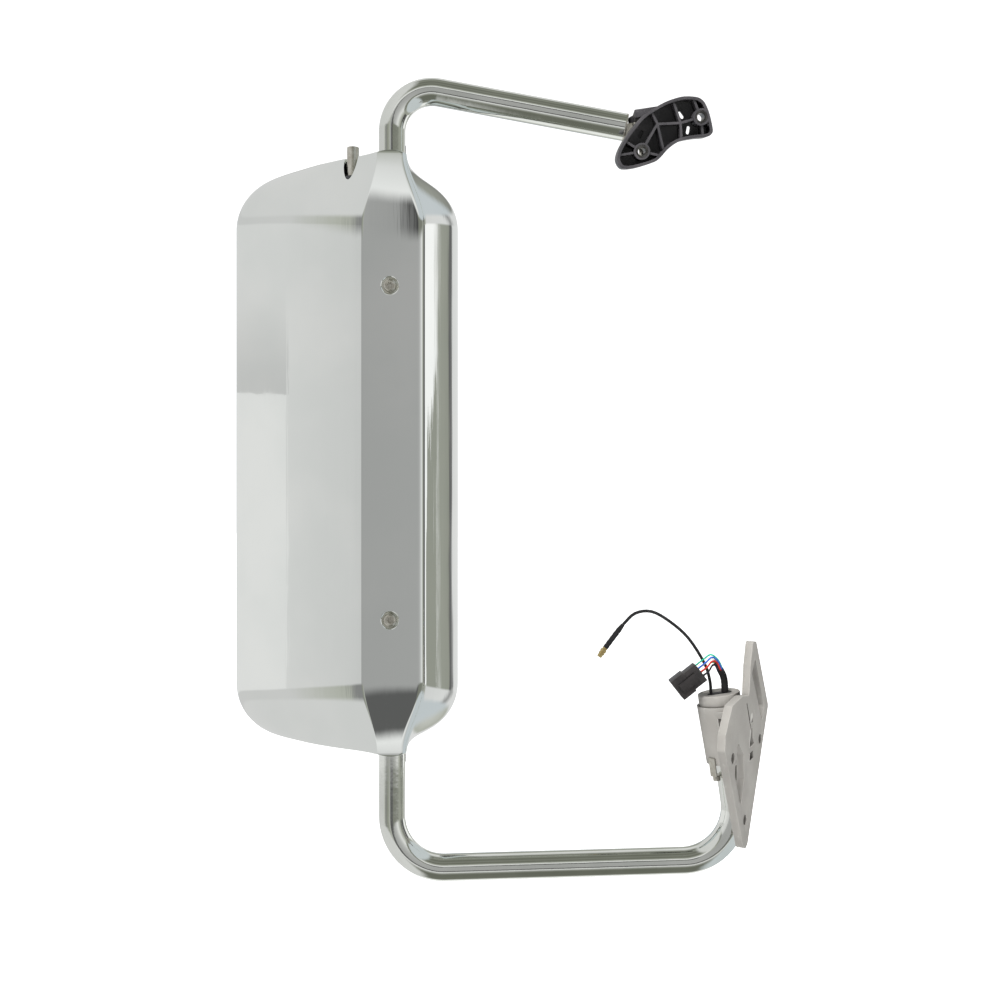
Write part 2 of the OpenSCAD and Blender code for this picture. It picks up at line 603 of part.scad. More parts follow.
module stands() {
    for (x = stand_x, z = stand_z) translate([x - 5, plate_y + 1, z - stand_h / 2])
        cube([10, bezel_front - lip_t - free_gap / 3 - plate_y - 1, stand_h]);
}
module backplate() color(dark) in_head() difference() {
    union() {
        translate([-95, plate_y, -wide_z]) cube([126, backplate_t, 2 * wide_z]);
        translate([-70, plate_y, -head_h / 2 + 10]) cube([84, backplate_t, head_h - 20]);
        stands();
        for (z = screw_z) translate([-clamp_w / 2, 0.5, z - 20]) cube([clamp_w, plate_y, 40]);
        // Rails that stiffen the plate
        for (x = [-93, 26]) translate([x, plate_y - 6, 12 - wide_z]) cube([3, 7, 2 * wide_z - 24]);
    }
    cylinder(r = tube_r + run_gap, h = head_h, center = true);
    for (z = screw_z, x = clamp_bolt_x, dz = [-12, 12]) translate([x, -1, z + dz])
        rotate([-90, 0, 0]) {
            cylinder(d = 6, h = 30);
            translate([0, 0, plate_y + backplate_t - 4.4]) cylinder(d = 10.6, h = 10);
        }
    for (x = stand_x, z = stand_z) translate([x, bezel_front - lip_t - 14, z]) rotate([-90, 0, 0])
        cylinder(d = 4, h = 20);
    // Room for the harness as the head turns on the post
    translate([-13, plate_y - 8, harness_hole_z - 9]) cube([26, 20, 18]);
}
module post_clamps() color(steel) in_head() for (z = screw_z) difference() {
    translate([-clamp_w / 2, -panel_y + 4.2, z - 20]) cube([clamp_w, panel_y - 4.7, 40]);
    cylinder(r = tube_r + run_gap, h = head_h, center = true);
    for (x = clamp_bolt_x, dz = [-12, 12]) translate([x, -panel_y, z + dz])
        rotate([-90, 0, 0]) cylinder(d = 6.4, h = 30);
    translate([0, -panel_y, z]) rotate([-90, 0, 0]) cylinder(d = 6, h = 20);
}
module clamp_bolts() color(steel) in_head()
    for (z = screw_z, x = clamp_bolt_x, dz = [-12, 12]) translate([x, 0, z + dz]) {
        translate([0, plate_y + backplate_t - 5.3, 0]) rotate([-90, 0, 0]) cylinder(d = 10, h = 5.2);
        translate([0, -panel_y + 5, 0]) rotate([-90, 0, 0]) cylinder(d = 5.9, h = plate_y + panel_y - 7);
    }
module bezel_screws() color(steel) in_head() for (x = stand_x, z = stand_z)
    translate([x, bezel_front - 16, z]) rotate([-90, 0, 0]) cylinder(d = 3.9, h = 16 - lip_t - 0.2);

// Split collars close the gap round the post, with a tab standing proud inboard
module post_grommets() color(dark) in_head() for (s = [-1, 1]) translate([0, 0, s * (head_h / 2 - 14)]) {
    intersection() {
        translate([0, 0, -5 - s * 7]) ring(tube_r + 1.7, tube_r + run_gap, 10);
        translate([-30, -14.6, -10]) cube([60, 60, 20]);
    }
    intersection() {
        translate([0, 0, s > 0 ? -4 : -24]) ring(tube_r + 0.38, tube_r + run_gap, 28);
        translate([0, 0, -30]) cube([40, 40, 60]);
    }
}

module antenna_cup() color(dark) in_head() translate([stud_at[0], stud_at[1], 0]) difference() {
    union() {
        translate([0, 0, head_h / 2 - 60]) cylinder(d = stud_hole_d - 1, h = 36);
        translate([-8, 0, head_h / 2 - 60]) cube([16, plate_y - stud_at[1] - 0.2, 8]);
    }
    translate([0, 0, head_h / 2 - 56]) cylinder(d = stud_hole_d - 4, h = 60);
    translate([0, 0, head_h / 2 - 62]) cylinder(d = 10, h = 10);
}
module antenna_stud() color(brass) in_head() translate([stud_at[0], stud_at[1], head_h / 2 - 66]) {
    cylinder(d = 9.9, h = 12);
    translate([0, 0, 10.1]) cylinder(d = stud_hole_d - 4.5, h = 5, $fn = 6);
    translate([0, 0, 11]) cylinder(d = 13, h = stud_top - head_h / 2 + 55);
}

// --- Glass adjusters ----------------------------------------------------------------------------
lug_w = 7;
lug_in = 20.3;
pin_r = 3;
module hub(z) in_head() translate([glass_mid_x, pivot_y, z]) children();

module pivot_lugs(back) {
    for (s = [-1, 1]) translate([0, 0, s * (lug_in + lug_w / 2)]) difference() {
        translate([-5, back, -lug_w / 2]) cube([10, 5 - back, lug_w]);
        cylinder(r = pin_r, h = lug_w + 2, center = true);
    }
}
module housing_shell(z, depth) hub(z) {
    back = plate_y + backplate_t - pivot_y + 0.1;
    difference() {
        translate([0, back, 0]) rotate([-90, 0, 0]) cylinder(r = housing_r, h = depth);
        translate([0, back + 2.5, 0]) rotate([-90, 0, 0]) cylinder(r = housing_r - 2.5, h = depth - 5);
        for (p = [[-lever_r, 0], [0, -lever_r]]) translate([p[0], 0, p[1]])
            rotate([90, 0, 0]) cylinder(r = 4.3, h = 40);
        // Slot for the harness plug
        translate([housing_r - 10, back + 10, -7]) cube([20, 9, 14]);
    }
    pivot_lugs(back + depth - 1);
}
module actuator_housing() color(dark) housing_shell(main_z, housing_h);
module convex_base() color(dark) housing_shell(convex_z, housing_h);

module motor_at(x, z, turn) translate([x, plate_y + backplate_t - pivot_y + 13.2, z])
    rotate([0, turn, 0]) {
        cylinder(r = 10, h = 25, center = true);
        cylinder(r = 2, h = 33, center = true);
    }
module drive_motors() color(steel) hub(main_z) {
    motor_at(-15, 14, 0);
    motor_at(14, -15, 90);
}
gear_y = -29;
module drive_gears() color("white") hub(main_z) for (p = [[-lever_r, 0], [0, -lever_r]])
    translate([p[0], gear_y, p[1]]) rotate([-90, 0, 0]) linear_extrude(6) difference() {
        union() {
            circle(r = 5.9);
            for (a = [0 : 30 : 330]) rotate(a) translate([6.1, 0]) square([1.6, 1.8], center = true);
        }
        circle(r = 4.3);
    }
module plunger(x, z) color("white") hub(main_z) translate([x, 0, z]) {
    tip = holder_back - pivot_y - 4.4;
    translate([0, -34, 0]) rotate([-90, 0, 0]) cylinder(r = 4, h = 34 + tip);
    translate([0, tip, 0]) sphere(r = 4);
}
module pan_plunger() plunger(-lever_r, 0);
module tilt_plunger() plunger(0, -lever_r);

module gimbal(z) color(dark) hub(z) {
    translate([0, -5, 0]) rotate([-90, 0, 0]) ring(16, 10, 10);
    for (a = [0 : 90 : 270]) rotate([0, a, 0]) translate([0, 0, 14])
        cylinder(r = pin_r - run_gap, h = lug_in + lug_w - 14);
}
module main_gimbal() gimbal(main_z);
module convex_gimbal() gimbal(convex_z);

module pane(w, h, y, t, r = 20) facing(y) linear_extrude(t) rounded(w, h, r);
module holder(z, h, rim = 0) color(dark) hub(z) {
    back = holder_back - pivot_y;
    pane(glass_w, h, back, 4);
    // Rim round the glass
    facing(back) linear_extrude(4 + 0.6 + glass_t + rim) difference() {
        rounded(glass_w, h, 20);
        rounded(glass_w - 4, h - 4, 18);
    }
    rotate([0, 90, 0]) for (s = [-1, 1]) translate([0, 0, s * (lug_in + lug_w / 2)]) difference() {
        translate([-5, -5, -lug_w / 2]) cube([10, back + 6, lug_w]);
        cylinder(r = pin_r, h = lug_w + 2, center = true);
    }
}
module main_holder() holder(main_z, main_h);
module convex_holder() holder(convex_z, convex_h, 4);
module heater(z, h) color([0.6, 0.3, 0.2]) hub(z) pane(glass_w - 16, h - 16, holder_back - pivot_y + 4.05, 0.4, 14);
module main_heater() heater(main_z, main_h);
module convex_heater() heater(convex_z, convex_h);
module main_glass() color([0.75, 0.8, 0.85]) hub(main_z)
    pane(glass_w - 4.6, main_h - 4.6, glass_front - glass_t - pivot_y, glass_t, 17.7);

// The convex glass is a slice of a sphere cut to its outline
convex_r = 1100;
convex_rise = 9;
module convex_glass() color([0.75, 0.8, 0.85]) hub(convex_z) intersection() {
    pane(glass_w - 4.6, convex_h - 4.6, glass_front - glass_t - pivot_y, 20, 17.7);
    translate([0, glass_front + convex_rise - pivot_y - convex_r, 0]) difference() {
        sphere(r = convex_r, $fn = 240);
        sphere(r = convex_r - glass_t, $fn = 240);
    }
}

// --- Wiring -------------------------------------------------------------------------------------
module wire_sleeve() color(dark) in_arm() cord(smooth(sleeve_route, 2), sleeve_d, 12);
// The wires lie in two layers, four and three abreast: the outermost start furthest out at the
// sleeve and end furthest up the connector, so they arch over without crossing
sleeve_heading = unit(sleeve_route[3] - sleeve_route[2]);
sleeve_side = unit(cross([0, 1, 0], sleeve_heading));
function wire_lane(i) = i < 4 ? 1.5 - i : 5 - i;
function wire_layer(i) = i < 4 ? 1 : -1;
function wire_route(i) = let (
        lane = wire_lane(i), rise = lane + 1.5,
        start = sleeve_route[3] + 1.85 * lane * sleeve_side + [0, wire_layer(i), 0],
        end = connector_at + connector_to(0, [wire_spread * lane, 4 * wire_layer(i)]),
        over = start + (7 + 1.4 * rise) * sleeve_heading,
        down = end + connector_to(7 + 1.4 * rise, [0, 0]))
    [start - 5 * sleeve_heading, start, over, (over + down) / 2 + [0, 0, 2.5 + 0.9 * rise], down, end,
        end - connector_to(4, [0, 0])];
// A step away from the connector's entry face: out along its axis, and across and through it
function connector_to(out, side) = [cos(connector_dip) * out - sin(connector_dip) * side[0], side[1],
    sin(connector_dip) * out + cos(connector_dip) * side[0]];
module wire(i, c) color(c) in_arm() cord(smooth(wire_route(i), 3), wire_d);
module wire_green() wire(0, [0.1, 0.6, 0.45]);
module wire_white() wire(1, [0.9, 0.9, 0.88]);
module wire_yellow() wire(2, [0.85, 0.75, 0.2]);
module wire_navy() wire(3, [0.1, 0.15, 0.4]);
module wire_blue() wire(4, [0.15, 0.35, 0.75]);
module wire_red() wire(5, [0.75, 0.15, 0.12]);
module wire_black() wire(6, dark);

// Connector: its axis runs from the wire entry down and outboard
module on_connector() in_arm() translate(connector_at) rotate([0, -90 - connector_dip, 0])
    children();
module connector_body() color(dark) on_connector() difference() {
    union() {
        translate([-10.4, -8.5, 0]) cube([20.8, 17, 18]);
        translate([-11.9, -9.5, 16]) cube([23.8, 19, 16.5]);
    }
    translate([-9.9, -7.2, 20]) cube([19.8, 14.4, 20]);
}
module connector_lock() color(dark) on_connector() {
    translate([-5, -12.1, 6]) cube([10, 1.6, 22]);
    translate([-5, -10.7, 6]) cube([10, 2.1, 3]);
}

module coax_cable() color(dark) in_arm() cord(smooth(coax_route, 4), coax_d);
module coax_boot() color(dark) in_arm() cord(boot_route, 6, 12);
module coax_plug() color(brass) in_arm() cord(plug_route, 7, 12);

lower_bracket();
socket_cap();
outlet_seal();
lower_bush();
upper_bush();
fixed_detent_ring();
socket_clip();
clip_screw();
arm_tube();
moving_detent_ring();
disc_springs();
retaining_nut();
arm_end_fitting();
harness();
upper_bracket();
pivot_bolt();
pivot_insert();
boss_inserts();
chrome_cover();
bezel();
backplate();
post_clamps();
clamp_bolts();
cover_screws();
bezel_screws();
post_grommets();
antenna_cup();
antenna_stud();
actuator_housing();
drive_motors();
drive_gears();
pan_plunger();
tilt_plunger();
main_gimbal();
main_holder();
main_heater();
main_glass();
convex_base();
convex_gimbal();
convex_holder();
convex_heater();
convex_glass();
wire_sleeve();
wire_green();
wire_white();
wire_yellow();
wire_navy();
wire_blue();
wire_red();
wire_black();
connector_body();
connector_lock();
coax_cable();
coax_boot();
coax_plug();
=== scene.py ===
"""A two-arm truck side mirror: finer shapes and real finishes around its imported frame."""
import json
import math

import bmesh
import bpy
from mathutils import Matrix, Vector


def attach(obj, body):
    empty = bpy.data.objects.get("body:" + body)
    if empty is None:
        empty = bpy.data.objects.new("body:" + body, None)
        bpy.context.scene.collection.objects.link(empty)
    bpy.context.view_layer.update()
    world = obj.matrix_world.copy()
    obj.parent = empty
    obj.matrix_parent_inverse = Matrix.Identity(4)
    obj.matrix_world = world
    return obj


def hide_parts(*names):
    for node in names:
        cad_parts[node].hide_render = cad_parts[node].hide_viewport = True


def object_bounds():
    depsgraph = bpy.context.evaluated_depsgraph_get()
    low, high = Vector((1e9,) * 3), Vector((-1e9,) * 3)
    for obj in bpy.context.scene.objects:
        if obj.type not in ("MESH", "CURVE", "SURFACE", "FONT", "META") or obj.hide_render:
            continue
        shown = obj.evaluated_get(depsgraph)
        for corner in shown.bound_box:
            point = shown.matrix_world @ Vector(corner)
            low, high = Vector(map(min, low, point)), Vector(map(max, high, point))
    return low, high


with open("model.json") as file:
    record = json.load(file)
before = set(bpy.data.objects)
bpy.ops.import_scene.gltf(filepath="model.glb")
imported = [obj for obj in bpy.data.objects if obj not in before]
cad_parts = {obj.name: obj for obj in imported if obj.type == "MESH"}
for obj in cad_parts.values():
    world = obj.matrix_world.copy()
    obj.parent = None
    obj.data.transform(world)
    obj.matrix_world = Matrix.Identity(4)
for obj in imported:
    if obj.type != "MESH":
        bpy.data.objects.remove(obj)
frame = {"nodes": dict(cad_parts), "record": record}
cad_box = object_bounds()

BODY_OF = {node: body for body, nodes in frame["record"]["behaviour"]["bodies"].items() for node in nodes}
MM = 0.001

# --- Places, in millimetres, in the arm's own plane: x inboard, y rearward, z up ------------------
ARM_YAW = math.radians(29)
FOOT = Vector((-12.3, 35.5, -21)) * MM
IN_ARM = Matrix.Rotation(ARM_YAW, 4, "Z") @ Matrix.Translation(FOOT)
POST_X = -363
HEAD_MID = 331
IN_HEAD = IN_ARM @ Matrix.Translation(Vector((POST_X, 0, HEAD_MID)) * MM)
AXIS_LEAN = math.radians(7.9)
ON_FOLD = IN_ARM @ Matrix.Rotation(-AXIS_LEAN, 4, "Y")
TUBE_R = 14.3


# --- Camera ---------------------------------------------------------------------------------------
CAMERA_AT = (0.3140, -1.1002, 0.2600)
LENS_MM = 38.3
SENSOR_MM = 36


def make_camera():
    data = bpy.data.cameras.new("camera")
    data.lens = LENS_MM
    data.sensor_width = SENSOR_MM
    data.clip_start = 0.05
    camera = bpy.data.objects.new("camera", data)
    camera.location = CAMERA_AT
    camera.rotation_euler = (math.radians(90), 0, ARM_YAW)
    bpy.context.scene.collection.objects.link(camera)
    bpy.context.scene.camera = camera


# --- Shader writing -------------------------------------------------------------------------------
class Value:
    """A shader socket. Arithmetic on it adds Math nodes."""

    def __init__(self, shader, socket):
        self.shader = shader
        self.socket = socket

    def maths(self, operation, *values):
        return self.shader.node("ShaderNodeMath", {"operation": operation}, values)

    def __add__(self, other):
        return self.maths("ADD", self, other)

    def __radd__(self, other):
        return self.maths("ADD", other, self)

    def __sub__(self, other):
        return self.maths("SUBTRACT", self, other)

    def __rsub__(self, other):
        return self.maths("SUBTRACT", other, self)

    def __mul__(self, other):
        return self.maths("MULTIPLY", self, other)

    def __rmul__(self, other):
        return self.maths("MULTIPLY", other, self)

    def __truediv__(self, other):
        return self.maths("DIVIDE", self, other)

    def __gt__(self, other):
        return self.maths("GREATER_THAN", self, other)

    def __lt__(self, other):
        return self.maths("LESS_THAN", self, other)

    def ramped(self, low, high):
        """0 below low, 1 above high, and a smooth rise between."""
        return self.shader.node("ShaderNodeMapRange", {"interpolation_type": "SMOOTHSTEP"},
                                [self, low, high, 0.0, 1.0])


class Shader:
    """The nodes of one finish, or of the surroundings."""

    def __init__(self, tree):
        self.tree = tree
        tree.nodes.clear()

    def node(self, kind, settings=None, inputs=(), output=0):
        made = self.tree.nodes.new(kind)
        for name, value in (settings or {}).items():
            if name == "stops":
                set_stops(made.color_ramp, value)
            else:
                setattr(made, name, value)
        pairs = inputs.items() if isinstance(inputs, dict) else enumerate(inputs)
        for key, value in pairs:
            if isinstance(value, Value):
                self.tree.links.new(value.socket, made.inputs[key])
            elif value is not None:
                made.inputs[key].default_value = value
        return Value(self, made.outputs[output]) if made.outputs else None

    def mix(self, share, a, b):
        return self.node("ShaderNodeMix", {"data_type": "RGBA"}, {0: share, 6: a, 7: b}, 2)

    def place(self, stretch=(1, 1, 1), turn=(0, 0, 0)):
        spot = self.node("ShaderNodeTexCoord", output="Object")
        return self.node("ShaderNodeMapping", None, {0: spot, 2: turn, 3: stretch})

    def noise(self, scale, detail=3.0, rough=0.5, stretch=(1, 1, 1), turn=(0, 0, 0)):
        return self.node("ShaderNodeTexNoise", None,
                         {"Vector": self.place(stretch, turn), "Scale": scale, "Detail": detail,
                          "Roughness": rough})

    def recess(self, reach):
        """1 in corners and pockets narrower than reach, 0 on open faces: the mask for painted shade."""
        open_share = self.node("ShaderNodeAmbientOcclusion", {"samples": 8}, {"Distance": reach}, 1)
        return (1 - open_share).ramped(0.12, 0.8)

    def edges(self, reach):
        """1 on outward edges, 0 on flat faces: the mask for painted highlights on edges."""
        solid_share = self.node("ShaderNodeAmbientOcclusion", {"samples": 8, "inside": True},
                                {"Distance": reach}, 1)
        return (1 - solid_share).ramped(0.15, 0.7)

    def surface(self, colour, roughness, height=None, depth=0.0001, **constants):
        """Joins up the finish: colour and roughness are values or links, height raises a bump."""
        inputs = {"Base Color": colour, "Roughness": roughness}
        if height is not None:
            inputs["Normal"] = self.node("ShaderNodeBump", None,
                                         {"Strength": 1.0, "Distance": depth, "Height": height})
        for name, value in constants.items():
            inputs[name.replace("_", " ").title().replace("Ior", "IOR")] = value
        skin = self.node("ShaderNodeBsdfPrincipled", None, inputs)
        self.node("ShaderNodeOutputMaterial", None, [skin])


def set_stops(ramp, stops):
    """Stops are (place, colour) pairs, where colour is one grey or three numbers."""
    while len(ramp.elements) > 1:
        ramp.elements.remove(ramp.elements[0])
    for i, (place, colour) in enumerate(stops):
        stop = ramp.elements[0] if i == 0 else ramp.elements.new(place)
        stop.position = place
        stop.color = tuple(colour) + (1,) if hasattr(colour, "__len__") else (colour, colour, colour, 1)


def new_finish(name):
    material = bpy.data.materials.new(name)
    material.use_nodes = True
    return material, Shader(material.node_tree)


def rgb(r, g, b):
    """A colour on the usual 0 to 255 scale, as linear light."""
    return tuple(((c / 255 + 0.055) / 1.055) ** 2.4 if c > 10 else c / 255 / 12.92 for c in (r, g, b)) + (1,)


# --- Finishes -------------------------------------------------------------------------------------
def chrome_plate():
    """Bright plating on plastic: fine streaks from wiping, and a faint ripple."""
    material, s = new_finish("chrome_plate")
    streak = s.noise(140, 3, 0.6, (1, 1, 0.03))
    haze = s.noise(9, 3)
    tone = s.mix(haze.ramped(0.35, 0.7), rgb(238, 241, 238), rgb(244, 246, 243))
    rough = 0.015 + 0.035 * streak.ramped(0.5, 0.75) + 0.015 * haze
    ripple = s.noise(28, 1, 0.4, (1, 1, 0.35)) + 0.25 * streak
    s.surface(tone, rough, ripple, 0.00022, metallic=1.0)
    return material


def chrome_steel():
    """Chromed steel tube: a faint haze, light scuffs and a slightly green grey."""
    material, s = new_finish("chrome_steel")
    haze = s.noise(22, 4)
    scuff = s.noise(320, 5, 0.65)
    tone = s.mix(haze.ramped(0.3, 0.75), rgb(232, 235, 229), rgb(244, 246, 241))
    rough = 0.06 + 0.06 * scuff.ramped(0.55, 0.8) + 0.03 * haze
    s.surface(tone, rough, haze + 0.04 * scuff, 0.0003, metallic=1.0)
    return material


def cast_alloy():
    """Blasted light alloy casting: fine sandy grain, small pits and faint handling marks, with painted highlights on
    edges and painted shade in recesses.
    """
    material, s = new_finish("cast_alloy")
    grain = s.noise(1700, 4, 0.7)
    cloud = s.noise(26, 3, 0.5)
    pit = s.noise(620, 2, 0.5).ramped(0.70, 0.78)
    rub = s.noise(120, 5, 0.7, (1, 1, 0.35)).ramped(0.60, 0.74)
    tone = s.mix(cloud.ramped(0.3, 0.72), rgb(152, 149, 144), rgb(162, 159, 154))
    tone = s.mix(rub * 0.35, tone, rgb(186, 184, 180))
    tone = s.mix(pit * 0.6, tone, rgb(128, 124, 118))
    # painted highlight: outward edges lighter
    tone = s.mix(s.edges(0.0014) * 0.7, tone, rgb(208, 206, 201))
    # painted shade: corners and pockets darker
    tone = s.mix(s.recess(0.014) * 0.85, tone, rgb(76, 73, 69))
    rough = 0.6 + 0.16 * grain - 0.14 * rub
    s.surface(tone, rough, grain + 0.2 * cloud - 1.6 * pit, 0.00014, metallic=0.15)
    return material


def zinc_steel():
    """Zinc-plated steel with a faint yellow cast and fine scratches."""
    material, s = new_finish("zinc_steel")
    cloud = s.noise(160, 4, 0.6)
    scratch = s.noise(900, 3, 0.7, (1, 0.08, 1))
    tone = s.mix(cloud.ramped(0.35, 0.7), rgb(196, 192, 180), rgb(222, 220, 211))
    rough = 0.24 + 0.2 * scratch.ramped(0.4, 0.8) + 0.1 * cloud
    s.surface(tone, rough, scratch + cloud, 0.00008, metallic=1.0)
    return material


def dark_steel():
    """Oiled dark steel: turning marks and a dull sheen."""
    material, s = new_finish("dark_steel")
    cloud = s.noise(240, 4, 0.6)
    mark = s.noise(1200, 3, 0.6)
    tone = s.mix(cloud.ramped(0.35, 0.7), rgb(92, 90, 88), rgb(132, 130, 127))
    s.surface(tone, 0.26 + 0.2 * mark.ramped(0.4, 0.8), mark + cloud, 0.00006, metallic=1.0)
    return material


def black_plastic(name, tone, lift, sheen, grain_scale=1500, depth=0.00008):
    """Moulded black plastic: fine texture, rubbed patches, dust in the grain, and painted shade in recesses."""
    material, s = new_finish(name)
    grain = s.noise(grain_scale, 3, 0.6)
    cloud = s.noise(55, 4, 0.6)
    dust = s.noise(230, 5, 0.7).ramped(0.6, 0.8)
    colour = s.mix(cloud.ramped(0.35, 0.7), tone, lift)
    colour = s.mix(dust * 0.2, colour, rgb(110, 108, 106))
    # painted shade: corners and pockets near black
    colour = s.mix(s.recess(0.01) * 0.7, colour, rgb(12, 12, 13))
    rough = sheen + 0.12 * grain + 0.12 * dust - 0.06 * cloud
    s.surface(colour, rough, grain + 0.3 * cloud, depth)
    return material


def white_plastic():
    material, s = new_finish("white_plastic")
    cloud = s.noise(120, 3)
    tone = s.mix(cloud.ramped(0.3, 0.7), rgb(214, 211, 202), rgb(232, 230, 224))
    s.surface(tone, 0.4 + 0.1 * cloud, s.noise(900, 3), 0.00005)
    return material


def brass():
    """Turned brass: bright, with turning lines and a few dark spots."""
    material, s = new_finish("brass")
    lines = s.noise(1400, 2, 0.5, (1, 1, 0.1))
    spot = s.noise(500, 3).ramped(0.62, 0.75)
    tone = s.mix(spot * 0.6, rgb(222, 200, 142), rgb(150, 122, 74))
    s.surface(tone, 0.2 + 0.15 * lines + 0.2 * spot, lines, 0.00006, metallic=1.0)
    return material


def silvered_glass():
    """Back-silvered mirror glass: almost smooth, faint dust, a breath of waviness."""
    material, s = new_finish("silvered_glass")
    dust = s.noise(420, 5, 0.7).ramped(0.62, 0.85)
    wave = s.noise(5, 1)
    tone = s.mix(dust * 0.4, rgb(232, 238, 240), rgb(205, 210, 212))
    s.surface(tone, 0.012 + 0.12 * dust, wave, 0.0002, metallic=1.0, coat_weight=0.5,
              coat_roughness=0.02)
    return material


def heater_foil():
    """Printed heating foil: dark carrier with copper tracks."""
    material, s = new_finish("heater_foil")
    track = s.node("ShaderNodeTexWave", {"bands_direction": "Z"},
                   {"Vector": s.place(), "Scale": 60.0, "Distortion": 0.0}, 1)
    tone = s.mix(track.ramped(0.55, 0.65), rgb(62, 44, 34), rgb(176, 108, 66))
    s.surface(tone, 0.45 - 0.15 * track, track, 0.0001, metallic=0.3)
    return material


def wire_skin(name, colour):
    """Thin PVC insulation: soft gloss with slight drawing marks."""
    material, s = new_finish(name)
    cloud = s.noise(300, 3)
    darker = tuple(c * 0.72 for c in colour[:3]) + (1,)
    s.surface(s.mix(cloud.ramped(0.35, 0.7), darker, colour), 0.32 + 0.14 * cloud,
              s.noise(1600, 2), 0.00004)
    return material


FINISH = {
    "chrome_plate": chrome_plate(),
    "chrome_steel": chrome_steel(),
    "cast_alloy": cast_alloy(),
    "zinc_steel": zinc_steel(),
    "satin_black": black_plastic("satin_black", rgb(46, 45, 47), rgb(60, 58, 60), 0.34),
    "matt_black": black_plastic("matt_black", rgb(26, 27, 28), rgb(36, 37, 39), 0.52, 1100, 0.00014),
    "connector_black": black_plastic("connector_black", rgb(34, 32, 32), rgb(48, 45, 45), 0.34, 2200, 0.00004),
    "rubber": black_plastic("rubber", rgb(20, 20, 21), rgb(30, 30, 31), 0.58, 2600, 0.00005),
    "dark_steel": dark_steel(),
    "white_plastic": white_plastic(),
    "brass": brass(),
    "silvered_glass": silvered_glass(),
    "heater_foil": heater_foil(),
}
WIRES = [
    ("wire_green", rgb(36, 176, 142)), ("wire_white", rgb(232, 230, 222)),
    ("wire_yellow", rgb(222, 196, 78)), ("wire_navy", rgb(34, 40, 104)),
    ("wire_blue", rgb(52, 96, 188)), ("wire_red", rgb(198, 50, 44)), ("wire_black", rgb(34, 34, 36)),
]
for wire_name, wire_colour in WIRES:
    FINISH[wire_name] = wire_skin(wire_name + "_skin", wire_colour)


# --- Making pieces --------------------------------------------------------------------------------
SHARP_EDGE = 30
SAME_POINT_M = 2e-6


def add_object(name, data, finish):
    piece = bpy.data.objects.new(name, data)
    bpy.context.scene.collection.objects.link(piece)
    data.materials.clear()
    data.materials.append(FINISH[finish])
    return piece


def seat(piece, body, stands_for=()):
    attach(piece, body)
    if stands_for:
        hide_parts(*stands_for)
    return piece


def mesh_piece(name, points, faces, matrix, finish, sharp=35):
    """Points are in millimetres in the matrix's own frame."""
    mesh = bpy.data.meshes.new(name)
    mesh.from_pydata([matrix @ (Vector(p) * MM) for p in points], [], faces)
    tidy(mesh, sharp)
    return add_object(name, mesh, finish)


def tidy(mesh, sharp):
    bm = bmesh.new()
    bm.from_mesh(mesh)
    bmesh.ops.remove_doubles(bm, verts=bm.verts, dist=1e-6)
    bmesh.ops.recalc_face_normals(bm, faces=bm.faces)
    bm.to_mesh(mesh)
    bm.free()
    mesh.shade_smooth()
    mesh.set_sharp_from_angle(angle=math.radians(sharp))


def apply_modifiers(piece, sharp=35):
    graph = bpy.context.evaluated_depsgraph_get()
    mesh = bpy.data.meshes.new_from_object(piece.evaluated_get(graph))
    piece.modifiers.clear()
    piece.data = mesh
    mesh.shade_smooth()
    mesh.set_sharp_from_angle(angle=math.radians(sharp))


def tube_faces(rings, sides, ends=True):
    faces = [(r * sides + k, r * sides + (k + 1) % sides, (r + 1) * sides + (k + 1) % sides,
              (r + 1) * sides + k) for r in range(rings - 1) for k in range(sides)]
    if ends:
        faces.append(tuple(reversed(range(sides))))
        faces.append(tuple((rings - 1) * sides + k for k in range(sides)))
    return faces


def turned(name, profile, matrix, finish, sides=48, sharp=35):
    """A lathe piece: profile is (radius, height) pairs up the matrix's own Z axis."""
    points = [(max(r, 0.001) * math.cos(math.tau * k / sides),
               max(r, 0.001) * math.sin(math.tau * k / sides), h) for r, h in profile for k in range(sides)]
    return mesh_piece(name, points, tube_faces(len(profile), sides), matrix, finish, sharp)


def swept(name, path, radii, matrix, finish, sides=24, across=(0, 1, 0), sharp=35):
    """A round piece along a path. radii gives one radius, or one for each point."""
    points = []
    for i, p in enumerate(path):
        ahead = Vector(path[min(i + 1, len(path) - 1)]) - Vector(path[max(i - 1, 0)])
        u = ahead.cross(Vector(across)).normalized()
        v = ahead.cross(u).normalized()
        r = radii[i] if hasattr(radii, "__len__") else radii
        for k in range(sides):
            a = math.tau * k / sides
            points.append(Vector(p) + r * (u * math.cos(a) + v * math.sin(a)))
    return mesh_piece(name, points, tube_faces(len(path), sides), matrix, finish, sharp)


def smooth_path(points, steps):
    """The same rounded line through the points that the solid follows."""
    p = [Vector(q) for q in points]
    p = [2 * p[0] - p[1]] + p + [2 * p[-1] - p[-2]]
    line = []
    for a, b, c, d in zip(p, p[1:], p[2:], p[3:]):
        for k in range(steps):
            t = k / steps
            line.append(0.5 * (2 * b + (c - a) * t + (2 * a - 5 * b + 4 * c - d) * t * t
                               + (3 * b - a - 3 * c + d) * t ** 3))
    return line + [p[-2]]


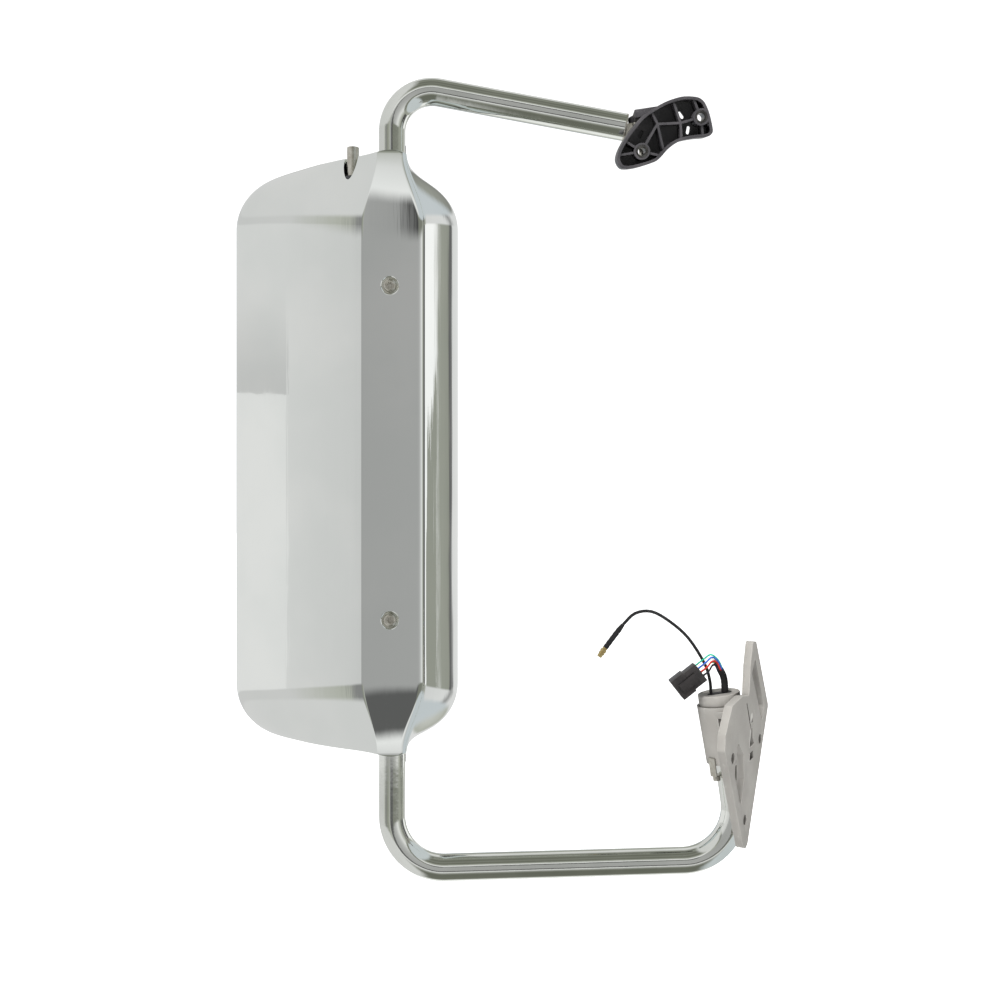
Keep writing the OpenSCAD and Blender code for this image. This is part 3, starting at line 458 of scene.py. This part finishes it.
def softened(node, finish, width=0.5, cutters=()):
    """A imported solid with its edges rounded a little, shown in its place."""
    mesh = frame["nodes"][node].data.copy()
    piece = add_object(node + "_eased", mesh, finish)
    for cutter in cutters:
        cut(piece, cutter)
    mesh = piece.data
    bm = bmesh.new()
    bm.from_mesh(mesh)
    bmesh.ops.remove_doubles(bm, verts=bm.verts, dist=SAME_POINT_M)
    bm.to_mesh(mesh)
    bm.free()
    bevel = piece.modifiers.new("ease", "BEVEL")
    bevel.width = width * MM
    bevel.segments = 2
    bevel.limit_method = "ANGLE"
    bevel.angle_limit = math.radians(SHARP_EDGE)
    bevel.use_clamp_overlap = True
    apply_modifiers(piece, SHARP_EDGE)
    piece.data.materials.clear()
    piece.data.materials.append(FINISH[finish])
    return seat(piece, BODY_OF[node], [node])


# --- Wiring ---------------------------------------------------------------------------------------
COAX_ROUTE = [(-18.5, 0, 72), (-19.5, 1, 86), (-25, 2, 104), (-42, 3, 131), (-62, 4, 149),
              (-82, 4, 160), (-100, 4, 158), (-113, 4, 146)]
BOOT_ROUTE = [(-113, 4, 146), (-123, 4, 133), (-132, 4, 121)]
PLUG_ROUTE = [(-132, 4, 121), (-135.5, 4, 116), (-139, 4, 111)]
SLEEVE_ROUTE = [(-3.5, 0, 74.2), (-4, -1, 84), (-6, -3, 92), (-9.5, -5, 98.5)]
CONNECTOR_AT = Vector((-32.7, -13.5, 98.1))
CONNECTOR_DIP = math.radians(38)
COAX_D = 3.4
WIRE_D = 1.8
SLEEVE_D = 8
WIRE_SPREAD = 4.6


def to_connector(out, side=0, through=0):
    """A step from the connector's entry: out along its axis, across it and through it."""
    c, s = math.cos(CONNECTOR_DIP), math.sin(CONNECTOR_DIP)
    return Vector((c * out - s * side, through, s * out + c * side))


def wire_route(i):
    lane = 1.5 - i if i < 4 else 5 - i
    layer = 1 if i < 4 else -1
    rise = lane + 1.5
    heading = (Vector(SLEEVE_ROUTE[3]) - Vector(SLEEVE_ROUTE[2])).normalized()
    side = Vector((0, 1, 0)).cross(heading).normalized()
    start = Vector(SLEEVE_ROUTE[3]) + 1.85 * lane * side + Vector((0, layer, 0))
    end = CONNECTOR_AT + to_connector(0, WIRE_SPREAD * lane, 4 * layer)
    over = start + (7 + 1.4 * rise) * heading
    down = end + to_connector(7 + 1.4 * rise)
    return [start - 5 * heading, start, over, (over + down) / 2 + Vector((0, 0, 2.5 + 0.9 * rise)),
            down, end, end - to_connector(4)]


def length_of(line):
    return sum((b - a).length for a, b in zip(line, line[1:]))


def cord_curve(name, line, diameter, finish):
    """One open curve through the line's points, as thick as the cord."""
    data = bpy.data.curves.new(name, "CURVE")
    data.dimensions = "3D"
    data.bevel_depth = diameter / 2 * MM
    data.bevel_resolution = 5
    data.use_fill_caps = True
    spline = data.splines.new("POLY")
    spline.points.add(len(line) - 1)
    for point, p in zip(spline.points, line):
        point.co = (*(IN_ARM @ (p * MM)), 1)
    return add_object(name, data, finish)


def add_cord(name, route, steps, diameter, finish, **facts):
    line = smooth_path(route, steps)
    piece = seat(cord_curve(name + "_cord", line, diameter, finish), "door_bracket", [name])
    tuple(IN_ARM @ (line[0] * MM))
    round(length_of(line)) * MM
    diameter * MM
    return piece


def along(a, b):
    """A frame whose Z runs from a to b, in the arm's plane."""
    a, b = Vector(a) * MM, Vector(b) * MM
    turn = (b - a).to_track_quat("Z", "Y").to_matrix().to_4x4()
    return IN_ARM @ Matrix.Translation(a) @ turn


def make_sleeve():
    """Shrunk sleeve round the wires: tight at the wires, with soft folds in its length."""
    line = smooth_path(SLEEVE_ROUTE, 8)
    last = len(line) - 1
    radii = []
    for i in range(last + 1):
        fold = 0.12 * math.sin(i * 1.7) + 0.08 * math.sin(i * 3.1)
        lip = 0.35 if i == last else 0.0
        radii.append(SLEEVE_D / 2 - 0.25 - lip + fold)
    return seat(swept("wire_sleeve_skin", line, radii, IN_ARM, "rubber", 32), "door_bracket", ["wire_sleeve"])


def make_coax_end():
    boot_line = smooth_path(BOOT_ROUTE, 8)
    steps = len(boot_line)
    radii = [2.0 + 0.95 * min(1, i / 4) - (0.22 if i % 3 == 2 and i > 4 else 0) for i in range(steps)]
    boot = seat(swept("coax_boot_skin", boot_line, radii, IN_ARM, "rubber", 32), "door_bracket", ["coax_boot"])
    run = (Vector(PLUG_ROUTE[2]) - Vector(PLUG_ROUTE[0])).length
    profile = [(0, 0), (2.3, 0), (2.9, 0.3), (2.9, 1.6), (2.5, 1.9), (2.5, 2.6), (3.4, 2.9), (3.4, 5.4),
               (2.8, 5.8), (2.8, 6.6), (3.3, 6.9), (3.3, 8.3), (2.7, 8.6), (2.7, 11.4), (2.5, run),
               (1.9, run), (1.9, run - 3.0), (0.5, run - 3.0), (0.5, run - 0.6), (0, run - 0.5)]
    plug = turned("coax_plug_turned", profile, along(PLUG_ROUTE[0], PLUG_ROUTE[2]), "brass", 40, 25)
    seat(plug, "door_bracket", ["coax_plug"])
    return boot, plug


def make_connector():
    body = softened("connector_body", "connector_black", 0.7)
    lock = softened("connector_lock", "connector_black", 0.4)
    pieces = [body, lock]
    for i in range(7):
        lane = 1.5 - i if i < 4 else 5 - i
        layer = 1 if i < 4 else -1
        start = CONNECTOR_AT + to_connector(0.4, WIRE_SPREAD * lane, 4 * layer)
        seal = turned("wire_seal_%d" % i, [(1.0, 0), (1.7, 0), (1.9, 0.3), (1.9, 1.2), (1.0, 1.2)],
                      along(start, start + to_connector(-10)), "rubber", 24)
        seat(seal, "door_bracket")
        pieces.append(seal)
    for i in range(8):
        spot = CONNECTOR_AT + to_connector(-19, WIRE_SPREAD * (1.5 - i % 4), 3.6 if i < 4 else -3.6)
        pin = turned("connector_pin_%d" % i, [(0, -2), (0.55, -2), (0.55, 9), (0.2, 10), (0, 10)],
                     along(spot, spot + to_connector(-10)), "brass", 12)
        seat(pin, "door_bracket")
        pieces.append(pin)
    return pieces


def make_wiring():
    sleeve = make_sleeve()
    boot, plug = make_coax_end()
    connector = make_connector()
    add_cord("coax_cable", COAX_ROUTE, 4, COAX_D, "rubber", far_end="plug", with_pieces=[boot, plug])
    for i, (name, _) in enumerate(WIRES):
        if i == 0:
            facts = {"far_end": "connector", "with_pieces": connector}
        elif i == 1:
            facts = {"far_end": "object", "with_pieces": [sleeve]}
        else:
            facts = {"far_end": "object"}
        add_cord(name, wire_route(i), 4, WIRE_D, name, **facts)


# --- Tube arm -------------------------------------------------------------------------------------
POST_TOP = 679
POST_BOTTOM = 60
UPPER_BEND_R, LOWER_BEND_R, PIVOT_BEND_R = 43, 56, 57
UPPER_FALL, LOWER_RISE = math.radians(10.6), math.radians(1.7)
EYE_R = 14
TUBE_TOP = 50


def arc_points(centre, radius, start, turn, steps):
    return [(centre[0] + radius * math.cos(start + turn * k / steps), 0,
             centre[1] + radius * math.sin(start + turn * k / steps)) for k in range(steps + 1)]


def arm_line():
    """The tube's centre line from its end at the upper pivot round to its end in the socket."""
    quarter = math.pi / 2
    up = POST_X + UPPER_BEND_R
    down = POST_X + LOWER_BEND_R
    upper = arc_points((up, POST_TOP), UPPER_BEND_R, quarter - UPPER_FALL, quarter + UPPER_FALL, 28)
    lower = arc_points((down, -POST_BOTTOM), LOWER_BEND_R, math.pi, quarter + LOWER_RISE, 28)
    x0, z0 = upper[0][0], upper[0][2]
    lean = math.tan(AXIS_LEAN)
    reach = (-x0 - lean * z0) / (math.cos(UPPER_FALL) - lean * math.sin(UPPER_FALL)) - EYE_R - 4
    line = [(x0 + reach * k / 12 * math.cos(UPPER_FALL), 0, z0 - reach * k / 12 * math.sin(UPPER_FALL))
            for k in range(12, 0, -1)]
    line += upper
    line += [(POST_X, 0, POST_TOP - (POST_TOP + POST_BOTTOM) * k / 24) for k in range(1, 24)]
    line += lower
    x1, z1 = lower[-1][0], lower[-1][2]
    turn = quarter - LOWER_RISE + AXIS_LEAN
    corner = (-x1 - lean * z1) / (math.cos(LOWER_RISE) + lean * math.sin(LOWER_RISE))
    leg = PIVOT_BEND_R * math.tan(turn / 2)
    run = corner - leg
    line += [(x1 + run * k / 12 * math.cos(LOWER_RISE), 0, z1 + run * k / 12 * math.sin(LOWER_RISE))
             for k in range(1, 12)]
    bend_at = (x1 + run * math.cos(LOWER_RISE), z1 + run * math.sin(LOWER_RISE))
    centre = (bend_at[0] - PIVOT_BEND_R * math.sin(LOWER_RISE), bend_at[1] + PIVOT_BEND_R * math.cos(LOWER_RISE))
    line += arc_points(centre, PIVOT_BEND_R, LOWER_RISE - quarter, turn, 28)
    x2, z2 = line[-1][0], line[-1][2]
    top = (-TUBE_TOP * math.sin(AXIS_LEAN), TUBE_TOP * math.cos(AXIS_LEAN))
    line += [(x2 + (top[0] - x2) * k / 6, 0, z2 + (top[1] - z2) * k / 6) for k in range(1, 7)]
    return line


def make_tube():
    tube = swept("arm_tube_drawn", arm_line(), TUBE_R, IN_ARM, "chrome_steel", 72, sharp=50)
    seat(tube, "arm", ["arm_tube"])


# --- Head cover -----------------------------------------------------------------------------------
HEAD_W, HEAD_H = 258, 646
HEAD_CX = 67.6 - HEAD_W / 2
CORNER_R = 60
RIM_Y, PANEL_Y = 90, 24
PANEL_W, PANEL_OUT = 65, 29.4
COVER_T = 2.5
FUNNEL_Z = 82
COLLAR_R = TUBE_R + 0.4
COLLAR_Y = PANEL_Y - 6.5
SCREW_Z = 177.5
SIDE_STEPS, CORNER_STEPS, END_STEPS = 14, 30, 12


def rim_point(sx, part, t, inset):
    """The rim's outline: part 0 is the straight side, 1 the corner and 2 the end."""
    hw, hh, r = HEAD_W / 2 - inset, HEAD_H / 2 - inset, CORNER_R - inset
    if part == 0:
        return HEAD_CX + sx * hw, (hh - r) * t
    if part == 1:
        a = t * math.pi / 2
        return HEAD_CX + sx * (hw - r + r * math.cos(a)), hh - r + r * math.sin(a)
    return HEAD_CX + sx * (hw - r) * (1 - t) + -HEAD_CX * t, hh


def panel_point(sx, part, t, inset):
    """The flat back panel's outline, point for point with the rim's."""
    side = (PANEL_W - PANEL_OUT if sx > 0 else PANEL_OUT) - inset
    neck = COLLAR_R + (2.8 if sx > 0 else 0.6) - inset
    hh = HEAD_H / 2 - inset
    z0 = hh - FUNNEL_Z
    if part == 0:
        return sx * side, z0 * t
    if part == 1:
        s = t * t * (3 - 2 * t)
        return sx * (side + (neck - side) * s), z0 + (FUNNEL_Z - 4) * t
    a = t * math.pi / 2
    return sx * neck * math.cos(a), hh - 4 + 4 * math.sin(a)


def outline_marks():
    """(side, part, share) round the top half from inboard to outboard."""
    quarter = [(0, i / SIDE_STEPS) for i in range(SIDE_STEPS)]
    quarter += [(1, i / CORNER_STEPS) for i in range(CORNER_STEPS + 1)]
    quarter += [(2, i / END_STEPS) for i in range(1, END_STEPS)]
    top = [(1, *q) for q in quarter] + [(1, 2, 1.0)] + [(-1, *q) for q in reversed(quarter)]
    return [(*m, 1) for m in top] + [(*m, -1) for m in reversed(top[1:-1])]


def cover_point(mark, s, inset):
    """A point on the cover at a share s of the way from panel to rim."""
    sx, part, t, sz = mark
    rx, rz = rim_point(sx, part, t, inset)
    px, pz = panel_point(sx, part, t, inset)
    f = 1 - (1 - s) ** (1.6 if rx < 0 else 1.25)
    end = (abs(pz) / (HEAD_H / 2)) ** 6
    y0 = -PANEL_Y + (PANEL_Y - COLLAR_Y) * end + inset
    return Vector((px + (rx - px) * f, y0 + (RIM_Y - y0) * s, sz * (pz + (rz - pz) * f)))


def crease_ring(mark, bend):
    """Points that round the fold between panel and side wall."""
    corner = cover_point(mark, 0, 0)
    wall = (cover_point(mark, 0.02, 0) - corner).normalized()
    reach = min(7.0 if mark[0] > 0 else 1.6, 0.42 * abs(corner.x))
    start = corner - Vector((math.copysign(reach, corner.x), 0, 0))
    finish = corner + wall * reach
    return start * (1 - bend) ** 2 + corner * 2 * bend * (1 - bend) + finish * bend ** 2, reach


def cover_rings():
    marks = outline_marks()
    rings = [[crease_ring(m, b / 8)[0] for m in marks] for b in range(9)]
    starts = [crease_ring(m, 1)[1] / 150 for m in marks]
    for k in range(1, 25):
        t = k / 24
        rings.append([cover_point(m, s + (1 - s) * t, 0) for m, s in zip(marks, starts)])
    return marks, rings


def cover_holes():
    """Cutters for the tube's two necks, the aerial stud and the two screw dishes."""
    spots = [((0, 0, HEAD_H / 2), (0, 0, 1), TUBE_R + 0.4, 20), ((0, 0, -HEAD_H / 2), (0, 0, 1), TUBE_R + 0.4, 20),
             ((-42.5, 2, HEAD_H / 2 - 10), (0, 0, 1), 10, 50),
             ((0, -PANEL_Y, SCREW_Z), (0, 1, 0), 10.5, 8), ((0, -PANEL_Y, -SCREW_Z), (0, 1, 0), 10.5, 8)]
    points, faces = [], []
    for centre, axis, radius, half in spots:
        turn = Vector(axis).to_track_quat("Z", "Y")
        base = len(points)
        for h in (-half, half):
            points += [Vector(centre) + turn @ Vector((radius * math.cos(math.tau * k / 48),
                       radius * math.sin(math.tau * k / 48), h)) for k in range(48)]
        faces += [tuple(base + i for i in f) for f in tube_faces(2, 48)]
    return mesh_piece("cutters", points, faces, IN_HEAD, "chrome_plate")


def make_cover():
    marks, outer = cover_rings()
    n = len(marks)
    inner = [[cover_point(m, 1 - k / 10, COVER_T) for m in marks] for k in range(11)]
    rings = outer + inner
    points = [p for ring in rings for p in ring]
    faces = tube_faces(len(rings), n, ends=False)
    for base, flip in ((0, True), ((len(rings) - 1) * n, False)):
        for i in range(-n // 4, n // 4):
            strip = [(n // 2 - i) % n, i % n, (i + 1) % n, (n // 2 - i - 1) % n]
            strip = [base + v for v in dict.fromkeys(strip)]
            if len(strip) > 2:
                faces.append(tuple(reversed(strip)) if flip else tuple(strip))
    cover = mesh_piece("cover_shell", points, faces, IN_HEAD, "chrome_plate", 40)
    cut(cover, cover_holes())
    seat(cover, "head", ["chrome_cover"])
    for sign in (1, -1):
        facing = IN_HEAD @ Matrix.Translation(Vector((0, -PANEL_Y, sign * SCREW_Z)) * MM) @ Matrix.Rotation(
            math.radians(90), 4, "X")
        dish = [(10.5, 0), (10.1, -0.04), (9.6, -0.2), (9.0, -0.6), (8.2, -1.2), (7.4, -1.7), (6.6, -1.95),
                (4.0, -2.0), (3.2, -2.0), (3.2, -2.8), (10.3, -2.8), (10.5, -2.6)]
        seat(ring_turned("screw_dish", dish, facing, "chrome_plate"), "head")


def ring_turned(name, profile, matrix, finish, sides=64, sharp=40):
    """A lathe ring: the closed profile goes round a hole."""
    points = [(r * math.cos(math.tau * k / sides), r * math.sin(math.tau * k / sides), h)
              for r, h in profile for k in range(sides)]
    rings = len(profile)
    faces = tube_faces(rings, sides, ends=False)
    faces += [((rings - 1) * sides + k, (rings - 1) * sides + (k + 1) % sides, (k + 1) % sides, k)
              for k in range(sides)]
    return mesh_piece(name, points, faces, matrix, finish, sharp)


def cut(piece, cutter):
    """Takes the cutter's shape out of the piece."""
    change = piece.modifiers.new("cut", "BOOLEAN")
    change.operation = "DIFFERENCE"
    change.solver = "EXACT"
    change.object = cutter
    apply_modifiers(piece, 40)
    bpy.data.objects.remove(cutter)


def make_cover_screws():
    """Pan heads with a six-lobe recess."""
    for sign in (1, -1):
        facing = IN_HEAD @ Matrix.Translation(Vector((0, -PANEL_Y + 1.9, sign * SCREW_Z)) * MM) @ Matrix.Rotation(
            math.radians(90), 4, "X")
        profile = [(0, -6), (2.9, -6), (2.9, 0), (6.4, 0), (6.9, 0.3), (6.9, 1.5), (6.6, 2.4), (5.9, 3.1), (4.6, 3.6),
                   (2.6, 3.9), (0, 4.0)]
        screw = turned("cover_screw_%s" % ("upper" if sign > 0 else "lower"), profile, facing, "zinc_steel", 64)
        lobes = []
        for level in (1.4, 6):
            for k in range(72):
                a = math.tau * k / 72
                r = 2.55 + 0.42 * math.cos(6 * a)
                lobes.append((r * math.cos(a), r * math.sin(a), level))
        cut(screw, mesh_piece("recess", lobes, tube_faces(2, 72), facing, "zinc_steel"))
        seat(screw, "head", ["cover_screws"])


# --- Bracket details ------------------------------------------------------------------------------
UPPER_PIVOT_UP = 687.05
TRAY_TILT = math.radians(15)
TRAY_BACK = -20
SOCKET_FOOT_R, SOCKET_TOP_R, SOCKET_H = 23, 25, 62
POCKET_DEPTH = 1.7
# Height of the foot and size of each pocket up the socket
POCKETS = [(4, 8), (17, 18), (42, 9)]
# Place across and up the tray, and lean, of each slot in its floor
TRAY_SLOTS = [(-2.8, -5.6, 65), (38.9, 13.5, 128), (47.2, -1.5, 82)]
SLOT_LONG, SLOT_WIDE = 8.5, 3.6


def pocket_cutter(up, size):
    """A ring sector that sinks a shallow pocket into the forward side of the cone."""
    inner = SOCKET_FOOT_R - POCKET_DEPTH + up * (SOCKET_TOP_R - SOCKET_FOOT_R) / SOCKET_H
    points = []
    for k in range(25):
        a = math.radians(250 + 66 * k / 24)
        for radius, z in ((inner, up), (inner + 5, up), (inner + 5, up + size), (inner, up + size)):
            points.append((radius * math.cos(a), radius * math.sin(a), z))
    return mesh_piece("pocket", points, tube_faces(25, 4), ON_FOLD, "cast_alloy")


def slot_cutter(across, up, lean):
    turn = math.radians(lean)
    points = []
    for depth in (TRAY_BACK - 4.6, TRAY_BACK + 0.6):
        for k in range(24):
            a = math.tau * (k + 0.5) / 24
            u = math.copysign((SLOT_LONG - SLOT_WIDE) / 2, math.cos(a)) + SLOT_WIDE / 2 * math.cos(a)
            v = SLOT_WIDE / 2 * math.sin(a)
            points.append((across + u * math.cos(turn) - v * math.sin(turn), depth,
                           up + u * math.sin(turn) + v * math.cos(turn)))
    lean_up = Vector((-math.sin(AXIS_LEAN), 0, math.cos(AXIS_LEAN))) * UPPER_PIVOT_UP * MM
    at_upper = IN_ARM @ Matrix.Translation(lean_up) @ Matrix.Rotation(TRAY_TILT, 4, "X")
    return mesh_piece("slot", points, tube_faces(2, 24), at_upper, "satin_black")


def make_brackets():
    softened("lower_bracket", "cast_alloy", 0.4, cutters=[pocket_cutter(*pocket) for pocket in POCKETS])
    softened("upper_bracket", "satin_black", 0.35, cutters=[slot_cutter(*slot) for slot in TRAY_SLOTS])


# --- Everything else ------------------------------------------------------------------------------
EASED = {
    "socket_cap": ("cast_alloy", 0.5), "socket_clip": ("zinc_steel", 0.2),
    "clip_screw": ("zinc_steel", 0.4), "boss_inserts": ("dark_steel", 0.3),
    "pivot_bolt": ("zinc_steel", 0.5), "pivot_insert": ("zinc_steel", 0.2), "antenna_stud": ("zinc_steel", 0.5),
    "bezel": ("matt_black", 0.3), "arm_end_fitting": ("zinc_steel", 0.4), "antenna_cup": ("matt_black", 0.4),
    "outlet_seal": ("rubber", 0.2), "post_grommets": ("rubber", 0.15), "main_glass": ("silvered_glass", 0.5),
    "main_holder": ("matt_black", 0.3), "convex_holder": ("matt_black", 0.3),
}
PLAIN = {
    "lower_bush": "rubber", "upper_bush": "rubber", "fixed_detent_ring": "zinc_steel",
    "moving_detent_ring": "zinc_steel", "disc_springs": "zinc_steel", "retaining_nut": "zinc_steel",
    "harness": "rubber", "backplate": "matt_black", "post_clamps": "zinc_steel", "clamp_bolts": "zinc_steel",
    "bezel_screws": "zinc_steel", "actuator_housing": "matt_black", "drive_motors": "zinc_steel",
    "drive_gears": "white_plastic", "convex_base": "matt_black", "pan_plunger": "white_plastic",
    "tilt_plunger": "white_plastic", "main_gimbal": "matt_black", "main_heater": "heater_foil",
    "convex_gimbal": "matt_black", "convex_heater": "heater_foil", "convex_glass": "silvered_glass",
}


def dress_nodes():
    for node, (finish, width) in EASED.items():
        softened(node, finish, width)
    for node, finish in PLAIN.items():
        mesh = frame["nodes"][node].data
        for i in range(max(1, len(mesh.materials))):
            if mesh.materials:
                mesh.materials[i] = FINISH[finish]
            else:
                mesh.materials.append(FINISH[finish])


# --- Surroundings ---------------------------------------------------------------------------------
def turn_share(degrees):
    return degrees / 360 + 0.5


def grey(level, tint=(0, 0, 0)):
    return rgb(*(level + t for t in tint))[:3]


GREEN = (1, 3, -6)
BLUE = (-6, 0, 4)
# What the plating mirrors at eye level, by degrees round from the camera: minus is outboard
AROUND = [(-180, grey(170, BLUE)), (-158, grey(190, BLUE)), (-140, grey(219)), (-90, grey(220)),
          (-74, grey(219)), (-58, grey(212)), (-50, grey(204)), (-46, grey(168)), (-20, grey(165)),
          (-4, grey(168)), (12, grey(172)), (30, grey(190)), (50, grey(232)), (72, grey(170, GREEN)),
          (90, grey(84)), (108, grey(96)), (115, grey(255)), (140.6, grey(255)), (141.2, grey(160, GREEN)),
          (146.5, grey(150, GREEN)), (147.2, grey(96)), (149, grey(104)), (150, grey(224)), (172, grey(236)),
          (180, grey(190, BLUE))]
# What the upright ends of the tube mirror, a little above and below that
UPRIGHT = [(-180, grey(206)), (-72, grey(208)), (-58, grey(180, GREEN)), (-55, grey(138)), (-49, grey(138)),
           (-40, grey(140, GREEN)), (-28, grey(150, GREEN)), (-19, grey(174, GREEN)), (-10, grey(168)),
           (-4, grey(160)), (-1, grey(70)), (5, grey(76)), (12, grey(122, GREEN)), (54, grey(128, GREEN)),
           (68, grey(156, GREEN)), (118, grey(164, GREEN)), (134, grey(214)), (146, grey(226)),
           (149, grey(150)), (153, grey(222)), (180, grey(225))]
# What the level runs mirror, by pitch: 0 is towards the camera's side, 90 straight up
PITCHED = [(-180, grey(150, GREEN)), (-155, grey(178, GREEN)), (-136, grey(250)), (-114, grey(246)),
           (-105, grey(138, GREEN)), (-91, grey(108, GREEN)), (-49, grey(106, GREEN)), (-40, grey(130, GREEN)),
           (-31, grey(188)), (-23, grey(246)), (-9, grey(240)), (0, grey(178, GREEN)), (7, grey(198)),
           (15, grey(222)), (21, grey(248)), (28, grey(226)), (34, grey(160, GREEN)), (44, grey(106, GREEN)),
           (57, grey(128, GREEN)), (70, grey(106, GREEN)), (86, grey(140, GREEN)), (102, grey(122, GREEN)),
           (114, grey(214)), (128, grey(230)), (142, grey(170, GREEN)), (166, grey(92)), (180, grey(130, GREEN))]
SIDE_LIGHT = grey(215)
INBOARD_LIGHT = grey(206, BLUE)
# A pale board stands outboard, from one bearing to another and up to a level edge
BOARD_BEARINGS = (-150, -73)
BOARD_TOP, BOARD_FADE = 5.6, 12.0
BOARD_LIGHT, OVER_BOARD, HIGH_OVER_BOARD = grey(229), grey(201), grey(219)
# Inboard, the white strip's foot is a grey one, cut off at a slant
STRIP_BEARINGS = (134, 141.2)
STRIP_MID, STRIP_SLANT, STRIP_LIFT = 137.5, 1.6, 2.0
STRIP_LIGHT = grey(152, GREEN)
# Heights over which one set of bands gives way to the next, above and below eye level
UPRIGHT_ABOVE, UPRIGHT_BELOW = (15.6, 17.4), (13.4, 15.4)
ENDS_FROM = (21.0, 24.0)
# How far to either side a direction must point to leave the level runs' bands
OUTBOARD_FROM, INBOARD_FROM = (0.2, 0.34), (0.3, 0.45)
DIM_BEARINGS, DIM_LIGHT = (-11, 12), grey(96)
DIFFUSE_CUT = 0.5


def make_surroundings():
    world = bpy.data.worlds.new("studio")
    bpy.context.scene.world = world
    world.use_nodes = True
    s = Shader(world.node_tree)
    way = s.node("ShaderNodeTexCoord", output="Generated")
    c, n = math.cos(ARM_YAW), math.sin(ARM_YAW)
    inboard = s.node("ShaderNodeVectorMath", {"operation": "DOT_PRODUCT"}, [way, (c, n, 0)], 1)
    near = s.node("ShaderNodeVectorMath", {"operation": "DOT_PRODUCT"}, [way, (n, -c, 0)], 1)
    up = s.node("ShaderNodeVectorMath", {"operation": "DOT_PRODUCT"}, [way, (0, 0, 1)], 1)
    bearing = inboard.maths("ARCTAN2", inboard, near) * (180 / math.pi)
    height = up.maths("ARCSINE", up) * (180 / math.pi)
    pitch = up.maths("ARCTAN2", up, near) * (180 / math.pi)

    def banded(bands, angle):
        return s.node("ShaderNodeValToRGB", {"stops": [(turn_share(a), v) for a, v in bands]},
                      [angle / 360 + 0.5])

    def between(angle, limits):
        return (angle > limits[0]) * (angle < limits[1])

    around = banded(AROUND, bearing)
    above = s.mix(height.ramped(BOARD_TOP, BOARD_FADE), OVER_BOARD + (1,), HIGH_OVER_BOARD + (1,))
    board = s.mix(height > BOARD_TOP, BOARD_LIGHT + (1,), above)
    around = s.mix(between(bearing, BOARD_BEARINGS), around, board)
    cut_off = (bearing - STRIP_MID) * STRIP_SLANT + STRIP_LIFT
    around = s.mix(between(bearing, STRIP_BEARINGS) * (height < cut_off), around, STRIP_LIGHT + (1,))
    upright = banded(UPRIGHT, bearing)
    upright = s.mix(between(bearing, DIM_BEARINGS) * (height < 0), upright, DIM_LIGHT + (1,))
    raised = height.ramped(*UPRIGHT_ABOVE)
    away = raised.maths("MAXIMUM", raised, (-1 * height).ramped(*UPRIGHT_BELOW))
    light = s.mix(away, around, upright)
    steep = height.maths("ABSOLUTE", height)
    ends = s.mix((-1 * inboard).ramped(*OUTBOARD_FROM), banded(PITCHED, pitch), SIDE_LIGHT + (1,))
    ends = s.mix(inboard.ramped(*INBOARD_FROM), ends, INBOARD_LIGHT + (1,))
    light = s.mix(steep.ramped(*ENDS_FROM), light, ends)
    seen = s.node("ShaderNodeLightPath", output="Is Camera Ray")
    soft = s.node("ShaderNodeLightPath", output="Is Diffuse Ray")
    room = s.node("ShaderNodeBackground", None, {"Color": light, "Strength": 1 - DIFFUSE_CUT * soft})
    plain = s.node("ShaderNodeBackground", None, {"Color": (1, 1, 1, 1), "Strength": 1.2})
    s.node("ShaderNodeOutputWorld", None, [s.node("ShaderNodeMixShader", None, [seen, room, plain])])


FLOOR_DROP, FLOOR_REACH = 0.25, 15


def make_floor():
    """A pale floor well under the lower arm, kept out of the plating's reflections."""
    z = cad_box[0][2] - FLOOR_DROP
    corners = [(a * FLOOR_REACH, b * FLOOR_REACH, z) for a, b in ((-1, -1), (1, -1), (1, 1), (-1, 1))]
    mesh = bpy.data.meshes.new("floor")
    mesh.from_pydata(corners, [], [(0, 1, 2, 3)])
    material, s = new_finish("pale_floor")
    tone = s.mix(s.noise(0.8), (0.93, 0.93, 0.93, 1), (0.95, 0.95, 0.95, 1))
    seen = s.node("ShaderNodeLightPath", output="Is Camera Ray")
    glow = s.mix(seen, grey(150) + (1,), grey(250) + (1,))
    s.surface(tone, 0.9, emission_color=glow, emission_strength=1.2)
    FINISH["pale_floor"] = material
    floor = add_object("floor", mesh, "pale_floor")
    floor.visible_glossy = False


def make_lights():
    """A soft key from above and outboard, and a weak fill: the plating mirrors neither."""
    for name, at, size, power in (("key", (-500, -900, 1300), 0.5, 38), ("fill", (700, -700, 500), 0.5, 6)):
        data = bpy.data.lights.new(name, "AREA")
        data.size = size
        data.energy = power
        light = bpy.data.objects.new(name, data)
        light.location = IN_ARM @ (Vector(at) * MM)
        aim = IN_ARM @ (Vector((-200, 0, 300)) * MM) - light.location
        light.rotation_euler = aim.to_track_quat("-Z", "Y").to_euler()
        light.visible_glossy = False
        bpy.context.scene.collection.objects.link(light)


make_camera()
make_wiring()
make_tube()
make_cover()
make_cover_screws()
make_brackets()
dress_nodes()
make_surroundings()
make_floor()
make_lights()
bpy.context.scene.view_settings.view_transform = "Standard"
